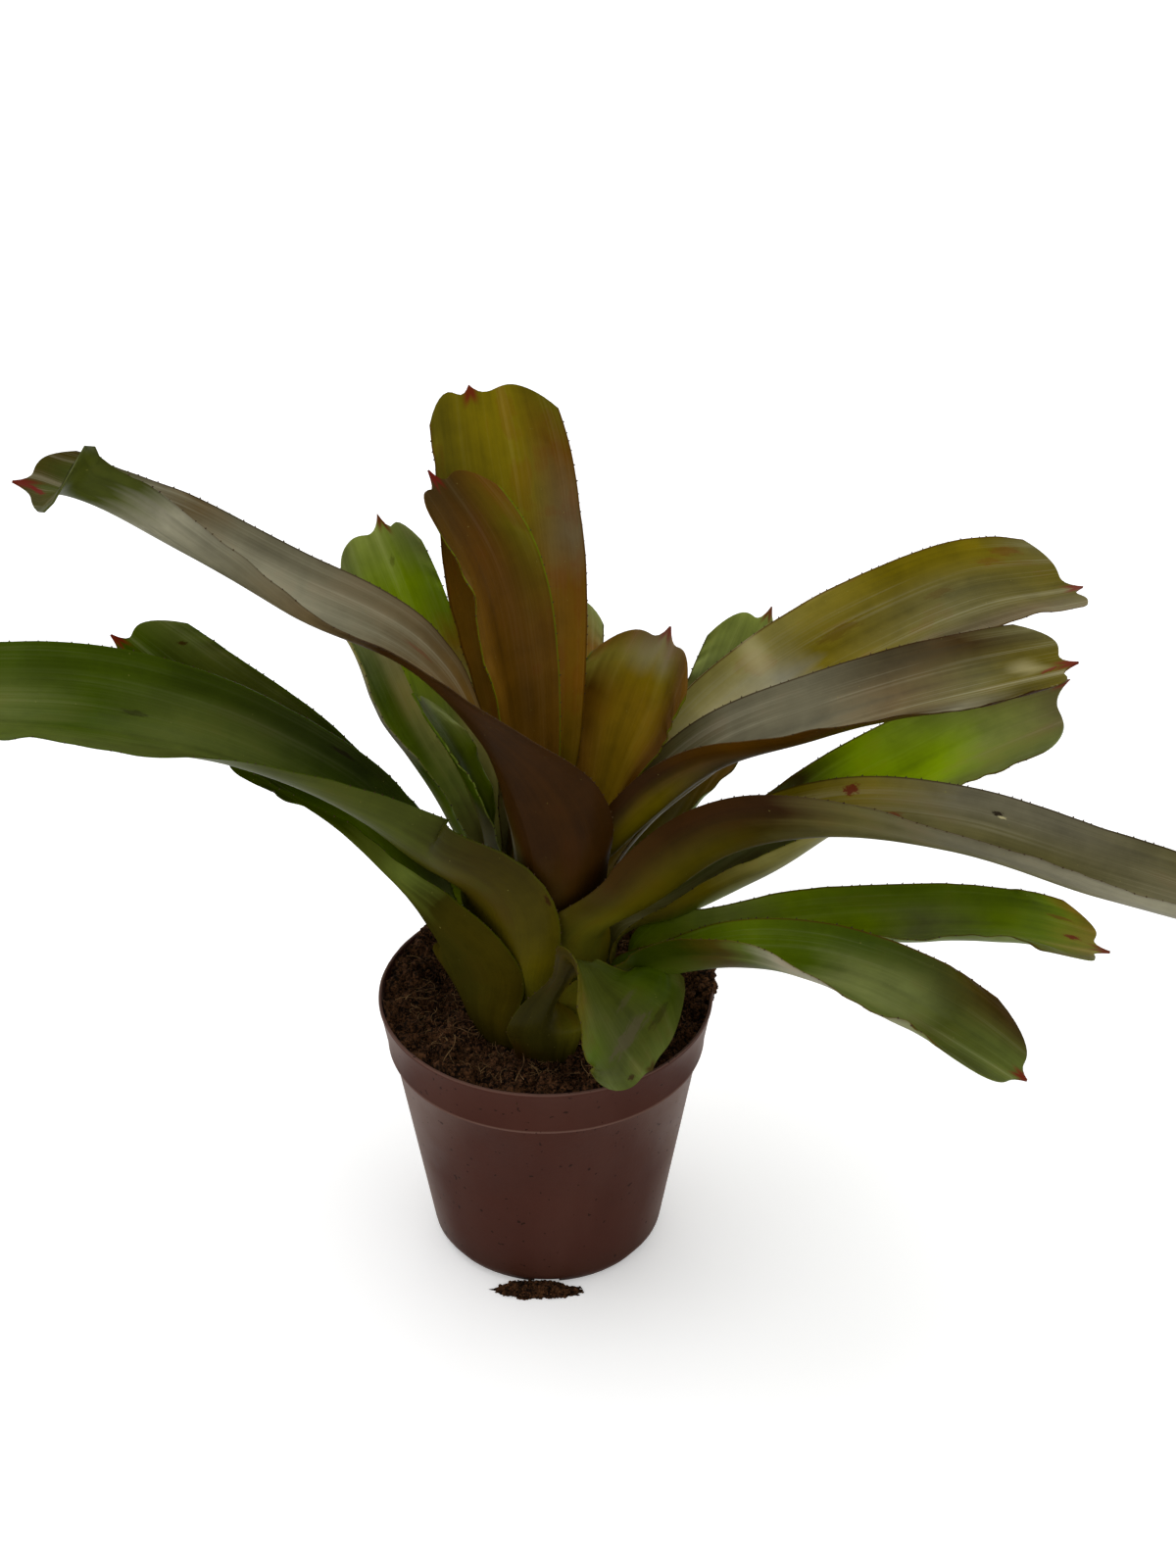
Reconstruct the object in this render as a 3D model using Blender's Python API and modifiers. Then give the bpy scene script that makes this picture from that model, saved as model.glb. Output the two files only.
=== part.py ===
"""A potted bromeliad: a rosette of channelled strap leaves in a round nursery pot of peat.

Metres, +Z up. The origin is the middle of the pot's underside, +X to the right
and -Y to the front. Every leaf is one closed solid with its own node, and its
base is a sheath that stands in the nest of sheaths round the short stem.
"""

from dataclasses import dataclass

import bmesh
import bpy
import numpy as np

# ---------------------------------------------------------------- driving sizes
POT_RIM_RADIUS = 0.060
POT_BAND_RADIUS = 0.0568
POT_SHOULDER_RADIUS = 0.0553
POT_FOOT_RADIUS = 0.0424
POT_BASE_RADIUS = 0.0388
POT_HEIGHT = 0.1035
POT_BAND_HEIGHT = 0.0195
POT_CHAMFER_HEIGHT = 0.0045
POT_WALL = 0.0011
POT_FLOOR = 0.0016
POT_SIDES = 40
DRAIN_SLOTS = 6
DRAIN_SLOT_LENGTH = 0.010
DRAIN_SLOT_WIDTH = 0.009
DRAIN_SLOT_HEIGHT = 0.0056

CLEARANCE = 0.0003
SOIL_LEVEL = 0.0985
SOIL_FLAT_RADIUS = 0.038
SOIL_SWELL = 0.0014
SOIL_SOCKET_DEPTH = 0.012
SOIL_SIDES = 40
SPILL_SIZE = (0.030, 0.009, 0.0032)
SPILL_CENTRE_X = -0.003
SPILL_REACH = 0.0444

STEM_AXIS = (0.0, -0.004)
STEM_RADIUS = 0.0055
STEM_TOP = 0.116
STEM_SIDES = 20

NEST_FLOOR = SOIL_LEVEL + CLEARANCE
NEST_INNER_RADIUS = 0.0066
NEST_PITCH = 0.00120
NEST_FLARE = 0.07
NEST_FLARE_PITCH = 0.0125

SHEATH_THICKNESS = 0.0007
BLADE_THICKNESS = 0.0013
TIP_THICKNESS = 0.0008
LEAF_SEGMENTS = 10
LEAF_ROWS = 13
SPINE_LENGTH = 0.0045
SPINE_SHARE = 0.06
NECK_SHARE = 0.30
TAPER_START = 0.93
BLADE_TAPER = (1.0, 0.92, 0.80)
TRIM_START = 0.72
ROOT_SHARE = 0.7
MIDRIB_POINTS = 240
SECTION_POINTS = 41
CREASE_SHARPNESS = 5.0


@dataclass(frozen=True)
class Leaf:
    """One leaf. Lengths are metres and angles degrees.

    azimuth: the way the blade leaves the stem. ring: place of its sheath in the
    nest, 0 innermost. sheath: its height, its widths round the stem to the right
    and to the left of the midrib, and how far round to the left of the azimuth it
    is rooted. path: midrib points after the sheath as (reach from the stem's axis,
    height above the pot's underside, shift to the leaf's left). half_width: of
    the blade. cup, roll: (share of the length, angle) keys for half the bend
    across the blade and for its turn about the midrib. tip: how far the corners
    are rounded back and how deep the notch beside the spine is. crease: 0 for a
    round channel to 1 for a folded one. opening: where the sheath has become the
    blade, in sheath lengths. neck: width of the narrow part above the sheath, as
    a share of the blade's.
    """

    name: str
    azimuth: float
    ring: float
    sheath: tuple
    path: tuple
    half_width: float
    cup: tuple = ((0.15, 55.0), (0.35, 85.0), (0.65, 50.0), (1.0, 25.0))
    roll: tuple = ((0.0, 0.0), (1.0, 0.0))
    tip: tuple = (0.014, 0.003)
    crease: float = 0.3
    opening: float = 1.4
    neck: float = 0.90
    colour: tuple = (0.12, 0.20, 0.03)


GREEN = (0.10, 0.19, 0.02)
DEEP_GREEN = (0.06, 0.13, 0.02)
OLIVE = (0.19, 0.17, 0.03)
BRONZE = (0.17, 0.09, 0.04)

LEAVES = (
    Leaf("leaf_heart", 38, 0, (0.060, 0.011, 0.011, 0),
         ((0.019, 0.172, -0.004), (0.030, 0.194, -0.004), (0.043, 0.216, -0.002), (0.055, 0.237, 0.0)),
         0.0260, cup=((0.3, 70.0), (0.6, 42.0), (1.0, 20.0)), tip=(0.015, 0.002), neck=0.52, colour=BRONZE),
    Leaf("leaf_heart_left", 140, 1.4, (0.065, 0.013, 0.013, 0),
         ((0.011, 0.195, 0.0), (0.015, 0.236, 0.0), (0.026, 0.274, 0.0), (0.047, 0.300, 0.003)), 0.0195,
         cup=((0.3, 62.0), (0.6, 45.0), (1.0, 30.0)), neck=0.80, colour=BRONZE),
    Leaf("leaf_back_tall", 107, 3.2, (0.070, 0.013, 0.013, 0),
         ((0.023, 0.200, -0.001), (0.034, 0.250, 0.0), (0.050, 0.287, 0.0), (0.068, 0.314, 0.0)),
         0.0260, cup=((0.3, 50.0), (0.6, 36.0), (1.0, 20.0)), tip=(0.015, 0.004), neck=0.80, colour=OLIVE),
    Leaf("leaf_right_upper", 2, 3, (0.060, 0.013, 0.013, -20),
         ((0.028, 0.175, -0.006), (0.055, 0.197, 0.0), (0.095, 0.214, 0.0), (0.140, 0.229, 0.0),
          (0.180, 0.239, 0.0)), 0.0230, roll=((0.0, 0.0), (0.3, -28.0), (0.6, -2.0), (1.0, 6.0)),
         colour=BRONZE),
    Leaf("leaf_left_inner", 183, 4.75, (0.050, 0.002, 0.010, 0),
         ((0.020, 0.172, 0.0), (0.029, 0.203, 0.0), (0.044, 0.232, 0.0)), 0.0125,
         cup=((0.2, 35.0), (0.6, 40.0), (1.0, 20.0)), colour=GREEN),
    Leaf("leaf_right_top", 26, 5.3, (0.048, 0.010, 0.010, 0),
         ((0.030, 0.161, 0.0), (0.052, 0.181, 0.0), (0.085, 0.201, 0.0), (0.125, 0.216, 0.0),
          (0.170, 0.224, 0.0), (0.214, 0.221, 0.0)), 0.025, cup=((0.15, 55.0), (0.4, 62.0), (1.0, 25.0)),
         roll=((0.0, 0.0), (0.4, 8.0), (1.0, 10.0)), colour=OLIVE),
    Leaf("leaf_left_long", 188, 6.2, (0.092, 0.008, 0.030, 72),
         ((0.016, 0.214, 0.022), (0.026, 0.230, 0.017), (0.042, 0.248, 0.010), (0.085, 0.272, 0.0),
          (0.122, 0.299, 0.0), (0.150, 0.318, 0.0), (0.166, 0.323, 0.0)), 0.0225,
         cup=((0.3, 50.0), (0.4, 42.0), (0.7, 45.0), (1.0, 25.0)),
         roll=((0.0, 0.0), (0.25, 6.0), (0.38, 30.0), (0.5, 2.0), (0.6, -4.0), (1.0, -4.0)),
         tip=(0.024, 0.003), colour=BRONZE),
    Leaf("leaf_left_back", 158, 8.3, (0.050, 0.010, 0.010, 0),
         ((0.038, 0.175, 0.0), (0.055, 0.202, 0.0), (0.074, 0.240, 0.0), (0.111, 0.268, 0.0)), 0.0130,
         roll=((0.0, 0.0), (0.5, 0.0), (1.0, 15.0)), colour=GREEN),
    Leaf("leaf_right_long", -18, 8.8, (0.044, 0.022, 0.012, -28),
         ((0.040, 0.157, -0.006), (0.065, 0.179, 0.0), (0.098, 0.194, 0.0), (0.141, 0.201, 0.0),
          (0.192, 0.194, 0.0), (0.240, 0.189, 0.0)), 0.0245,
         cup=((0.15, 50.0), (0.35, 85.0), (0.65, 50.0), (1.0, 25.0)),
         roll=((0.0, 0.0), (0.15, -14.0), (0.35, -34.0), (0.6, -8.0), (1.0, 2.0)), neck=1.0, colour=OLIVE),
    Leaf("leaf_back_left", 130, 10.0, (0.040, 0.013, 0.013, 0),
         ((0.046, 0.163, 0.0), (0.070, 0.206, 0.0), (0.101, 0.255, 0.0)), 0.0195, colour=GREEN),
    Leaf("leaf_right_middle", 8, 11.3, (0.032, 0.013, 0.013, 0),
         ((0.045, 0.135, 0.0), (0.074, 0.149, 0.0), (0.112, 0.175, 0.0), (0.153, 0.196, 0.0),
          (0.188, 0.210, 0.0)), 0.024,
         roll=((0.0, 0.0), (0.1, 0.0), (0.22, -6.0), (0.4, 0.0), (1.0, 15.0)), colour=GREEN),
    Leaf("leaf_left_broad", 187, 11, (0.064, 0.014, 0.031, 30),
         ((0.044, 0.171, 0.008), (0.062, 0.187, 0.002), (0.100, 0.212, 0.0), (0.148, 0.231, 0.0),
          (0.225, 0.240, 0.0)), 0.027,
         roll=((0.0, 0.0), (0.14, 0.0), (0.27, 20.0), (0.42, -3.0), (0.65, -14.0), (1.0, -3.0)),
         neck=0.76, colour=DEEP_GREEN),
    Leaf("leaf_back_hidden", 88, 11.4, (0.034, 0.013, 0.013, 0),
         ((0.050, 0.146, 0.0), (0.080, 0.178, 0.0), (0.120, 0.203, 0.0)), 0.019, colour=GREEN),
    Leaf("leaf_back_right", 51, 12.9, (0.024, 0.013, 0.013, 0),
         ((0.052, 0.132, 0.0), (0.085, 0.150, 0.0), (0.113, 0.178, 0.0), (0.131, 0.206, 0.0)), 0.020,
         colour=GREEN),
    Leaf("leaf_back_left_low", 141, 12.6, (0.026, 0.013, 0.013, 0),
         ((0.055, 0.130, 0.0), (0.100, 0.142, 0.0), (0.150, 0.136, 0.0)), 0.021, colour=GREEN),
    Leaf("leaf_back_low", 96, 13.8, (0.024, 0.013, 0.013, 0),
         ((0.058, 0.130, 0.0), (0.100, 0.140, 0.0), (0.150, 0.132, 0.0)), 0.022, colour=GREEN),
    Leaf("leaf_right_front", -35, 14.6, (0.024, 0.015, 0.012, -16),
         ((0.046, 0.132, 0.0), (0.083, 0.152, 0.0), (0.129, 0.163, 0.0), (0.173, 0.157, 0.0),
          (0.190, 0.152, 0.0)), 0.0205, roll=((0.0, 0.0), (0.3, -14.0), (0.7, -4.0), (1.0, 0.0)),
         colour=GREEN),
    Leaf("leaf_left_low", 168, 17.4, (0.036, 0.014, 0.029, 36),
         ((0.040, 0.145, 0.016), (0.058, 0.162, 0.008), (0.090, 0.185, 0.0), (0.125, 0.211, 0.0),
          (0.152, 0.235, 0.0)), 0.024, cup=((0.15, 45.0), (0.35, 75.0), (0.65, 50.0), (1.0, 25.0)),
         roll=((0.0, 0.0), (0.05, 0.0), (0.18, 26.0), (0.38, 0.0), (0.6, -14.0), (1.0, -8.0)), colour=GREEN),
    Leaf("leaf_right_lower", -10, 18, (0.016, 0.014, 0.014, 0),
         ((0.048, 0.125, 0.0), (0.080, 0.137, 0.0), (0.120, 0.146, 0.0), (0.165, 0.152, 0.0),
          (0.196, 0.148, 0.0)), 0.0195,
         roll=((0.0, 0.0), (0.3, 6.0), (0.55, 0.0), (1.0, -6.0)), colour=GREEN),
    Leaf("leaf_front_short", 302, 21.2, (0.020, 0.0115, 0.015, -34),
         ((0.036, 0.138, -0.016), (0.042, 0.150, -0.013), (0.0525, 0.142, -0.011), (0.060, 0.1235, -0.004),
          (0.064, 0.106, 0.002)), 0.0230,
         cup=((0.1, 35.0), (0.3, 60.0), (0.45, 38.0), (0.65, 20.0), (1.0, 14.0)),
         roll=((0.0, 0.0), (0.3, 0.0), (0.5, -38.0), (0.75, -34.0), (1.0, -10.0)),
         tip=(0.011, 0.003), neck=0.18, colour=DEEP_GREEN),
)


# ---------------------------------------------------------------- leaf geometry
def through_knots(knots, values, places):
    """A smooth cubic through values at the knots, read at places."""
    knots = np.asarray(knots, float)
    values = np.asarray(values, float)
    slopes = np.gradient(values, knots, axis=0)
    span = np.clip(np.searchsorted(knots, places, side="right") - 1, 0, len(knots) - 2)
    width = knots[span + 1] - knots[span]
    share = (np.clip(places, knots[0], knots[-1]) - knots[span]) / width
    if values.ndim == 2:
        width = width[:, None]
        share = share[:, None]
    rise = share * share * (3.0 - 2.0 * share)
    leave = share * (1.0 - share) ** 2
    arrive = share * share * (share - 1.0)
    ends = values[span] * (1.0 - rise) + values[span + 1] * rise
    return ends + width * (leave * slopes[span] + arrive * slopes[span + 1])


def smooth_step(low, high, value):
    """0 below low, 1 above high, and a smooth rise between."""
    share = np.clip((value - low) / (high - low), 0.0, 1.0)
    return share * share * (3.0 - 2.0 * share)


def midrib(leaf):
    """(points, lengths): a fine run of points up the midrib and the length to each."""
    height, _, _, turn = leaf.sheath
    root = NEST_INNER_RADIUS + NEST_PITCH * leaf.ring
    flare = NEST_FLARE + NEST_FLARE_PITCH * leaf.ring
    bearing = np.radians(turn)
    points = []
    for share in (0.0, 0.5, 1.0):
        radius = root + flare * height * share
        points.append((radius * np.cos(bearing), radius * np.sin(bearing), NEST_FLOOR + height * share))
    points = np.array(points + [(reach, shift, rise) for reach, rise, shift in leaf.path])
    chords = np.linalg.norm(np.diff(points, axis=0), axis=1)
    ends = np.concatenate([[0.0], np.cumsum(chords)])
    fine = through_knots(ends, points, np.linspace(0.0, ends[-1], MIDRIB_POINTS))
    steps = np.linalg.norm(np.diff(fine, axis=0), axis=1)
    return fine, np.concatenate([[0.0], np.cumsum(steps)])


def tip_trim(leaf, across):
    """How far each lengthwise line stops short of the midrib's end."""
    corner, notch = leaf.tip
    reach = np.abs(across)
    spine = np.clip(1.0 - reach / SPINE_SHARE, 0.0, 1.0)
    dip = np.clip(1.0 - reach / 0.5, 0.0, 1.0)
    return SPINE_LENGTH + corner * reach**4 + notch * dip - (SPINE_LENGTH + notch) * spine


def turned_about(vector, axis, cosine, sine):
    """The vector turned about a unit axis that is square to it."""
    return vector * cosine + np.cross(axis, vector) * sine


def unit(vectors):
    """The vectors at length 1."""
    return vectors / np.linalg.norm(vectors, axis=-1, keepdims=True)


def section(across, bend, crease):
    """(sideways, upward) of a channel one unit wide each side, as shares of the half width.

    The direction turns by bend from the midrib to the margin. A crease gathers
    that turn at the midrib, which makes the channel V-shaped.
    """
    fine = np.linspace(0.0, 1.0, SECTION_POINTS)
    fold = np.tanh(fine * CREASE_SHARPNESS)
    share = (1.0 - crease[:, None]) * fine[None, :] + crease[:, None] * fold[None, :]
    heading = bend[:, None] * share
    step = fine[1]
    middle = 0.5 * (heading[:, 1:] + heading[:, :-1])
    reach = np.concatenate([np.zeros((len(bend), 1)), np.cumsum(np.cos(middle), axis=1) * step], axis=1)
    climb = np.concatenate([np.zeros((len(bend), 1)), np.cumsum(np.sin(middle), axis=1) * step], axis=1)
    place = np.abs(across) * (SECTION_POINTS - 1)
    low = np.minimum(place.astype(int), SECTION_POINTS - 2)
    part = place - low
    rows = np.arange(len(bend))
    sideways = reach[rows, low] * (1.0 - part) + reach[rows, low + 1] * part
    upward = climb[rows, low] * (1.0 - part) + climb[rows, low + 1] * part
    return sideways * np.sign(across), upward


def middle_surface(leaf, across, along):
    """Points of the leaf's middle surface, for every pair of along and across."""
    height, sheath_right, sheath_left, sheath_turn = leaf.sheath
    fine, lengths = midrib(leaf)
    total = lengths[-1]
    late = smooth_step(TRIM_START, 1.0, along)[:, None]
    shares = (along[:, None] - late * (tip_trim(leaf, across) / total)[None, :]).ravel()
    sides = np.tile(across, len(along))
    slopes = np.gradient(fine, lengths, axis=0)
    centre = np.stack([np.interp(shares * total, lengths, fine[:, k]) for k in range(3)], -1)
    tangent = unit(np.stack([np.interp(shares * total, lengths, slopes[:, k]) for k in range(3)], -1))

    sheath_end = height / total
    free = smooth_step(0.75 * sheath_end, leaf.opening * sheath_end, shares)
    lean = smooth_step(0.1 * sheath_end, 1.3 * sheath_end, shares)[:, None]
    bearing = np.radians(sheath_turn) * (1.0 - free)
    level = np.stack([-np.sin(bearing), np.cos(bearing), np.zeros_like(bearing)], -1)
    side = unit(level - tangent * np.sum(tangent * level, axis=1, keepdims=True))
    inward = np.stack([-np.cos(bearing), -np.sin(bearing), np.zeros_like(bearing)], -1)
    normal = unit(inward * (1.0 - lean) + np.cross(tangent, side) * lean)
    roll = np.radians(through_knots(*zip(*leaf.roll), shares))[:, None]
    side, normal = (turned_about(part, tangent, np.cos(roll), np.sin(roll)) for part in (side, normal))

    neck = sheath_end + NECK_SHARE * (1.0 - sheath_end)
    places = (0.0, sheath_end, neck, 0.5 + 0.5 * neck, TAPER_START, 1.0)
    blade = [share * leaf.half_width for share in (leaf.neck, *BLADE_TAPER)]
    half_right, half_left = (
        through_knots(places, (ROOT_SHARE * low, low, *blade), shares) for low in (sheath_right, sheath_left)
    )
    half = np.where(sides < 0.0, half_right, half_left)
    wrap = half / np.maximum(np.hypot(centre[:, 0], centre[:, 1]), 0.5 * NEST_INNER_RADIUS)
    cup = np.radians(through_knots(*zip(*leaf.cup), shares))
    sideways, upward = section(sides, wrap * (1.0 - free) + cup * free, leaf.crease * free)
    local = centre + side * (half * sideways)[:, None] + normal * (half * upward)[:, None]

    azimuth = np.radians(leaf.azimuth)
    placed = np.stack([
        local[:, 0] * np.cos(azimuth) - local[:, 1] * np.sin(azimuth) + STEM_AXIS[0],
        local[:, 0] * np.sin(azimuth) + local[:, 1] * np.cos(azimuth) + STEM_AXIS[1],
        local[:, 2],
    ], -1)
    return placed.reshape(len(along), len(across), 3)


def two_faces(grid, along):
    """The upper and lower faces of the leaf, half its thickness to each side of grid."""
    up = np.gradient(grid, axis=0)
    over = np.gradient(grid, axis=1)
    normal = np.cross(up, over)
    normal /= np.maximum(np.linalg.norm(normal, axis=2), 1e-12)[:, :, None]
    thickness = through_knots(
        (0.0, 0.3, 0.55, 1.0),
        (SHEATH_THICKNESS, SHEATH_THICKNESS, BLADE_THICKNESS, TIP_THICKNESS),
        along,
    )
    half = 0.5 * thickness[:, None, None]
    return grid + normal * half, grid - normal * half


# ---------------------------------------------------------------- shared helpers
def material(name, colour, roughness):
    """A plain Principled material."""
    made = bpy.data.materials.new(name)
    made.use_nodes = True
    shader = made.node_tree.nodes["Principled BSDF"]
    shader.inputs["Base Color"].default_value = (*colour, 1.0)
    shader.inputs["Roughness"].default_value = roughness
    made.diffuse_color = (*colour, 1.0)
    return made


def add_object(name, mesh, collection):
    """A new object of the mesh, linked to the collection."""
    made = bpy.data.objects.new(name, mesh)
    collection.objects.link(made)
    return made


def finish_smooth(mesh, angle):
    """Smooth shading with sharp edges past the angle in degrees."""
    mesh.shade_smooth()
    mesh.set_sharp_from_angle(angle=np.radians(angle))


def turned(name, profile, sides, collection):
    """A solid turned about +Z from (radius, height) points, inside first and down the outer side."""
    mesh = bpy.data.meshes.new(name)
    points = [(radius, 0.0, height) for radius, height in profile]
    mesh.from_pydata(points, [(k, k + 1) for k in range(len(points) - 1)], [])
    made = add_object(name, mesh, collection)
    screw = made.modifiers.new("turn", "SCREW")
    screw.axis = "Z"
    screw.steps = sides
    screw.render_steps = sides
    screw.use_merge_vertices = True
    screw.merge_threshold = 0.00005
    return made


def cut(body, cutter):
    """Cuts the cutter's shape out of the body."""
    cutter.hide_render = True
    cutter.display_type = "WIRE"
    boolean = body.modifiers.new("cut", "BOOLEAN")
    boolean.operation = "DIFFERENCE"
    boolean.object = cutter


# ---------------------------------------------------------------- pot and soil
def make_pot(collection, cutters):
    """The thin nursery pot: a flared rim band over a tapered wall, open at the top."""
    shoulder = POT_HEIGHT - POT_BAND_HEIGHT
    profile = (
        (0.0, POT_FLOOR),
        (POT_BASE_RADIUS - 0.5 * POT_WALL, POT_FLOOR),
        (POT_FOOT_RADIUS - POT_WALL, POT_CHAMFER_HEIGHT + 0.5 * POT_WALL),
        (POT_SHOULDER_RADIUS - POT_WALL, shoulder + POT_WALL),
        (POT_BAND_RADIUS - POT_WALL, shoulder + 2.0 * POT_WALL),
        (POT_RIM_RADIUS - POT_WALL, POT_HEIGHT),
        (POT_RIM_RADIUS, POT_HEIGHT),
        (POT_BAND_RADIUS, shoulder),
        (POT_SHOULDER_RADIUS, shoulder),
        (POT_FOOT_RADIUS, POT_CHAMFER_HEIGHT),
        (POT_BASE_RADIUS, 0.0),
        (0.0, 0.0),
    )
    pot = turned("nursery_pot", profile, POT_SIDES, collection)
    pot.data.materials.append(material("terracotta_plastic", (0.13, 0.045, 0.03), 0.45))
    for slot in range(DRAIN_SLOTS):
        turn = 2.0 * np.pi * (slot + 0.5) / DRAIN_SLOTS
        cut(pot, make_drain_cutter(f"drain_slot_{slot + 1}", turn, cutters))
    return pot


def make_drain_cutter(name, turn, cutters):
    """A block that cuts one drain slot through the corner between the floor and the wall."""
    shape = bmesh.new()
    bmesh.ops.create_cube(shape, size=1.0)
    bmesh.ops.scale(shape, vec=(DRAIN_SLOT_LENGTH, DRAIN_SLOT_WIDTH, DRAIN_SLOT_HEIGHT), verts=shape.verts)
    mesh = bpy.data.meshes.new(name)
    shape.to_mesh(mesh)
    shape.free()
    cutter = add_object(name, mesh, cutters)
    cutter.location = (POT_BASE_RADIUS * np.cos(turn), POT_BASE_RADIUS * np.sin(turn), 0.0)
    cutter.rotation_euler = (0.0, 0.0, turn)
    return cutter


def make_soil(collection, cutters):
    """The peat: it fills the pot, flat under the rosette and gently swollen towards the rim."""
    shoulder = POT_HEIGHT - POT_BAND_HEIGHT
    inset = POT_WALL + CLEARANCE
    band_top = POT_RIM_RADIUS - inset - 0.0004
    profile = (
        (0.0, SOIL_LEVEL),
        (SOIL_FLAT_RADIUS, SOIL_LEVEL),
        (0.5 * (SOIL_FLAT_RADIUS + band_top), SOIL_LEVEL + SOIL_SWELL),
        (band_top - 0.004, SOIL_LEVEL + SOIL_SWELL),
        (band_top - 0.0006, SOIL_LEVEL - 0.001),
        (POT_BAND_RADIUS - inset, shoulder + 2.0 * POT_WALL + CLEARANCE),
        (POT_SHOULDER_RADIUS - inset, shoulder + POT_WALL),
        (POT_FOOT_RADIUS - inset, POT_CHAMFER_HEIGHT + POT_WALL),
        (POT_BASE_RADIUS - inset, POT_FLOOR + CLEARANCE),
        (0.0, POT_FLOOR + CLEARANCE),
    )
    soil = turned("potting_soil", profile, SOIL_SIDES, collection)
    soil.data.materials.append(material("peat", (0.035, 0.018, 0.010), 0.95))
    shape = bmesh.new()
    bmesh.ops.create_cone(
        shape, cap_ends=True, segments=STEM_SIDES, depth=2.0 * SOIL_SOCKET_DEPTH,
        radius1=STEM_RADIUS + CLEARANCE, radius2=STEM_RADIUS + CLEARANCE,
    )
    mesh = bpy.data.meshes.new("stem_socket")
    shape.to_mesh(mesh)
    shape.free()
    socket = add_object("stem_socket", mesh, cutters)
    socket.location = (*STEM_AXIS, SOIL_LEVEL)
    cut(soil, socket)
    return soil


def make_stem(collection):
    """The short stem: rooted in the peat, rounded on top, inside the nest of sheaths."""
    foot = SOIL_LEVEL - SOIL_SOCKET_DEPTH + CLEARANCE
    profile = (
        (0.0, STEM_TOP),
        (0.55 * STEM_RADIUS, STEM_TOP - 0.0007),
        (0.9 * STEM_RADIUS, STEM_TOP - 0.003),
        (STEM_RADIUS, STEM_TOP - 0.006),
        (STEM_RADIUS, foot + 0.002),
        (0.75 * STEM_RADIUS, foot),
        (0.0, foot),
    )
    stem = turned("stem", profile, STEM_SIDES, collection)
    stem.location = (*STEM_AXIS, 0.0)
    stem.data.materials.append(material("stem", (0.25, 0.24, 0.12), 0.7))
    return stem


def make_spill(collection):
    """The low heap of peat that has trickled out against the front of the pot's foot."""
    width, depth, height = SPILL_SIZE
    shape = bmesh.new()
    bmesh.ops.create_uvsphere(shape, u_segments=20, v_segments=12, radius=0.5)
    bmesh.ops.bisect_plane(
        shape, geom=shape.verts[:] + shape.edges[:] + shape.faces[:], dist=1e-6,
        plane_co=(0.0, 0.0, 0.0), plane_no=(0.0, 0.0, 1.0), clear_inner=True,
    )
    rim = [edge for edge in shape.edges if edge.is_boundary]
    bmesh.ops.contextual_create(shape, geom=rim)
    bmesh.ops.scale(shape, vec=(width, depth, 2.0 * height), verts=shape.verts)
    bmesh.ops.recalc_face_normals(shape, faces=shape.faces)
    mesh = bpy.data.meshes.new("peat_spill")
    shape.to_mesh(mesh)
    shape.free()
    spill = add_object("peat_spill", mesh, collection)
    spill.location = (SPILL_CENTRE_X, -np.sqrt(SPILL_REACH**2 - SPILL_CENTRE_X**2), 0.0)
    spill.data.materials.append(material("spilt_peat", (0.045, 0.022, 0.012), 0.95))
    return spill


# ---------------------------------------------------------------- leaves
def leaf_mesh(leaf):
    """The leaf's closed mesh: two faces of a channelled blade joined all round the edge."""
    across = np.linspace(-1.0, 1.0, LEAF_SEGMENTS + 1)
    along = np.linspace(0.0, 1.0, LEAF_ROWS + 1)
    upper, lower = two_faces(middle_surface(leaf, across, along), along)
    shape = bmesh.new()
    rows = []
    for face in (upper, lower):
        rows.append([[shape.verts.new(point) for point in row] for row in face])
    for face in rows:
        for near, far in zip(face, face[1:]):
            for k in range(LEAF_SEGMENTS):
                shape.faces.new((near[k], near[k + 1], far[k + 1], far[k]))
    top, bottom = rows
    loop = edge_loop(top)
    under = edge_loop(bottom)
    for k in range(len(loop)):
        after = (k + 1) % len(loop)
        shape.faces.new((loop[k], loop[after], under[after], under[k]))
    bmesh.ops.triangulate(shape, faces=shape.faces)
    bmesh.ops.recalc_face_normals(shape, faces=shape.faces)
    mesh = bpy.data.meshes.new(leaf.name)
    shape.to_mesh(mesh)
    shape.free()
    return mesh


def edge_loop(rows):
    """The grid's outer points in order: base, one margin, tip, the other margin."""
    return rows[0][:-1] + [row[-1] for row in rows[:-1]] + rows[-1][:0:-1] + [row[0] for row in rows[:0:-1]]


def make_leaf(leaf, collection):
    """One leaf of the rosette as its own object."""
    made = add_object(leaf.name, leaf_mesh(leaf), collection)
    made.data.materials.append(material(leaf.name, leaf.colour, 0.35))
    finish_smooth(made.data, 50.0)
    return made


def main():
    for old in list(bpy.data.objects):
        bpy.data.objects.remove(old, do_unlink=True)
    scene = bpy.context.scene
    plant = bpy.data.collections.new("potted_bromeliad")
    cutters = bpy.data.collections.new("cutters")
    scene.collection.children.link(plant)
    scene.collection.children.link(cutters)
    make_pot(plant, cutters)
    make_soil(plant, cutters)
    make_stem(plant)
    make_spill(plant)
    for leaf in LEAVES:
        make_leaf(leaf, plant)


if __name__ == "__main__":
    main()
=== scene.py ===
"""Potted bromeliad, finished: leaves, peat and nursery pot with their shapes and materials.

Metres, +Z up, +X to the plant's right and -Y to its front, as in the packed model.
Every leaf is a closed blade with two faces, lofted along its midrib. Its UV map runs
across the blade in U, from the right margin to the left one, and from root to tip in V.
"""

from dataclasses import dataclass
from functools import cache

import bmesh
import bpy
import numpy as np
from mathutils import Matrix, Vector, noise


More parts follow.
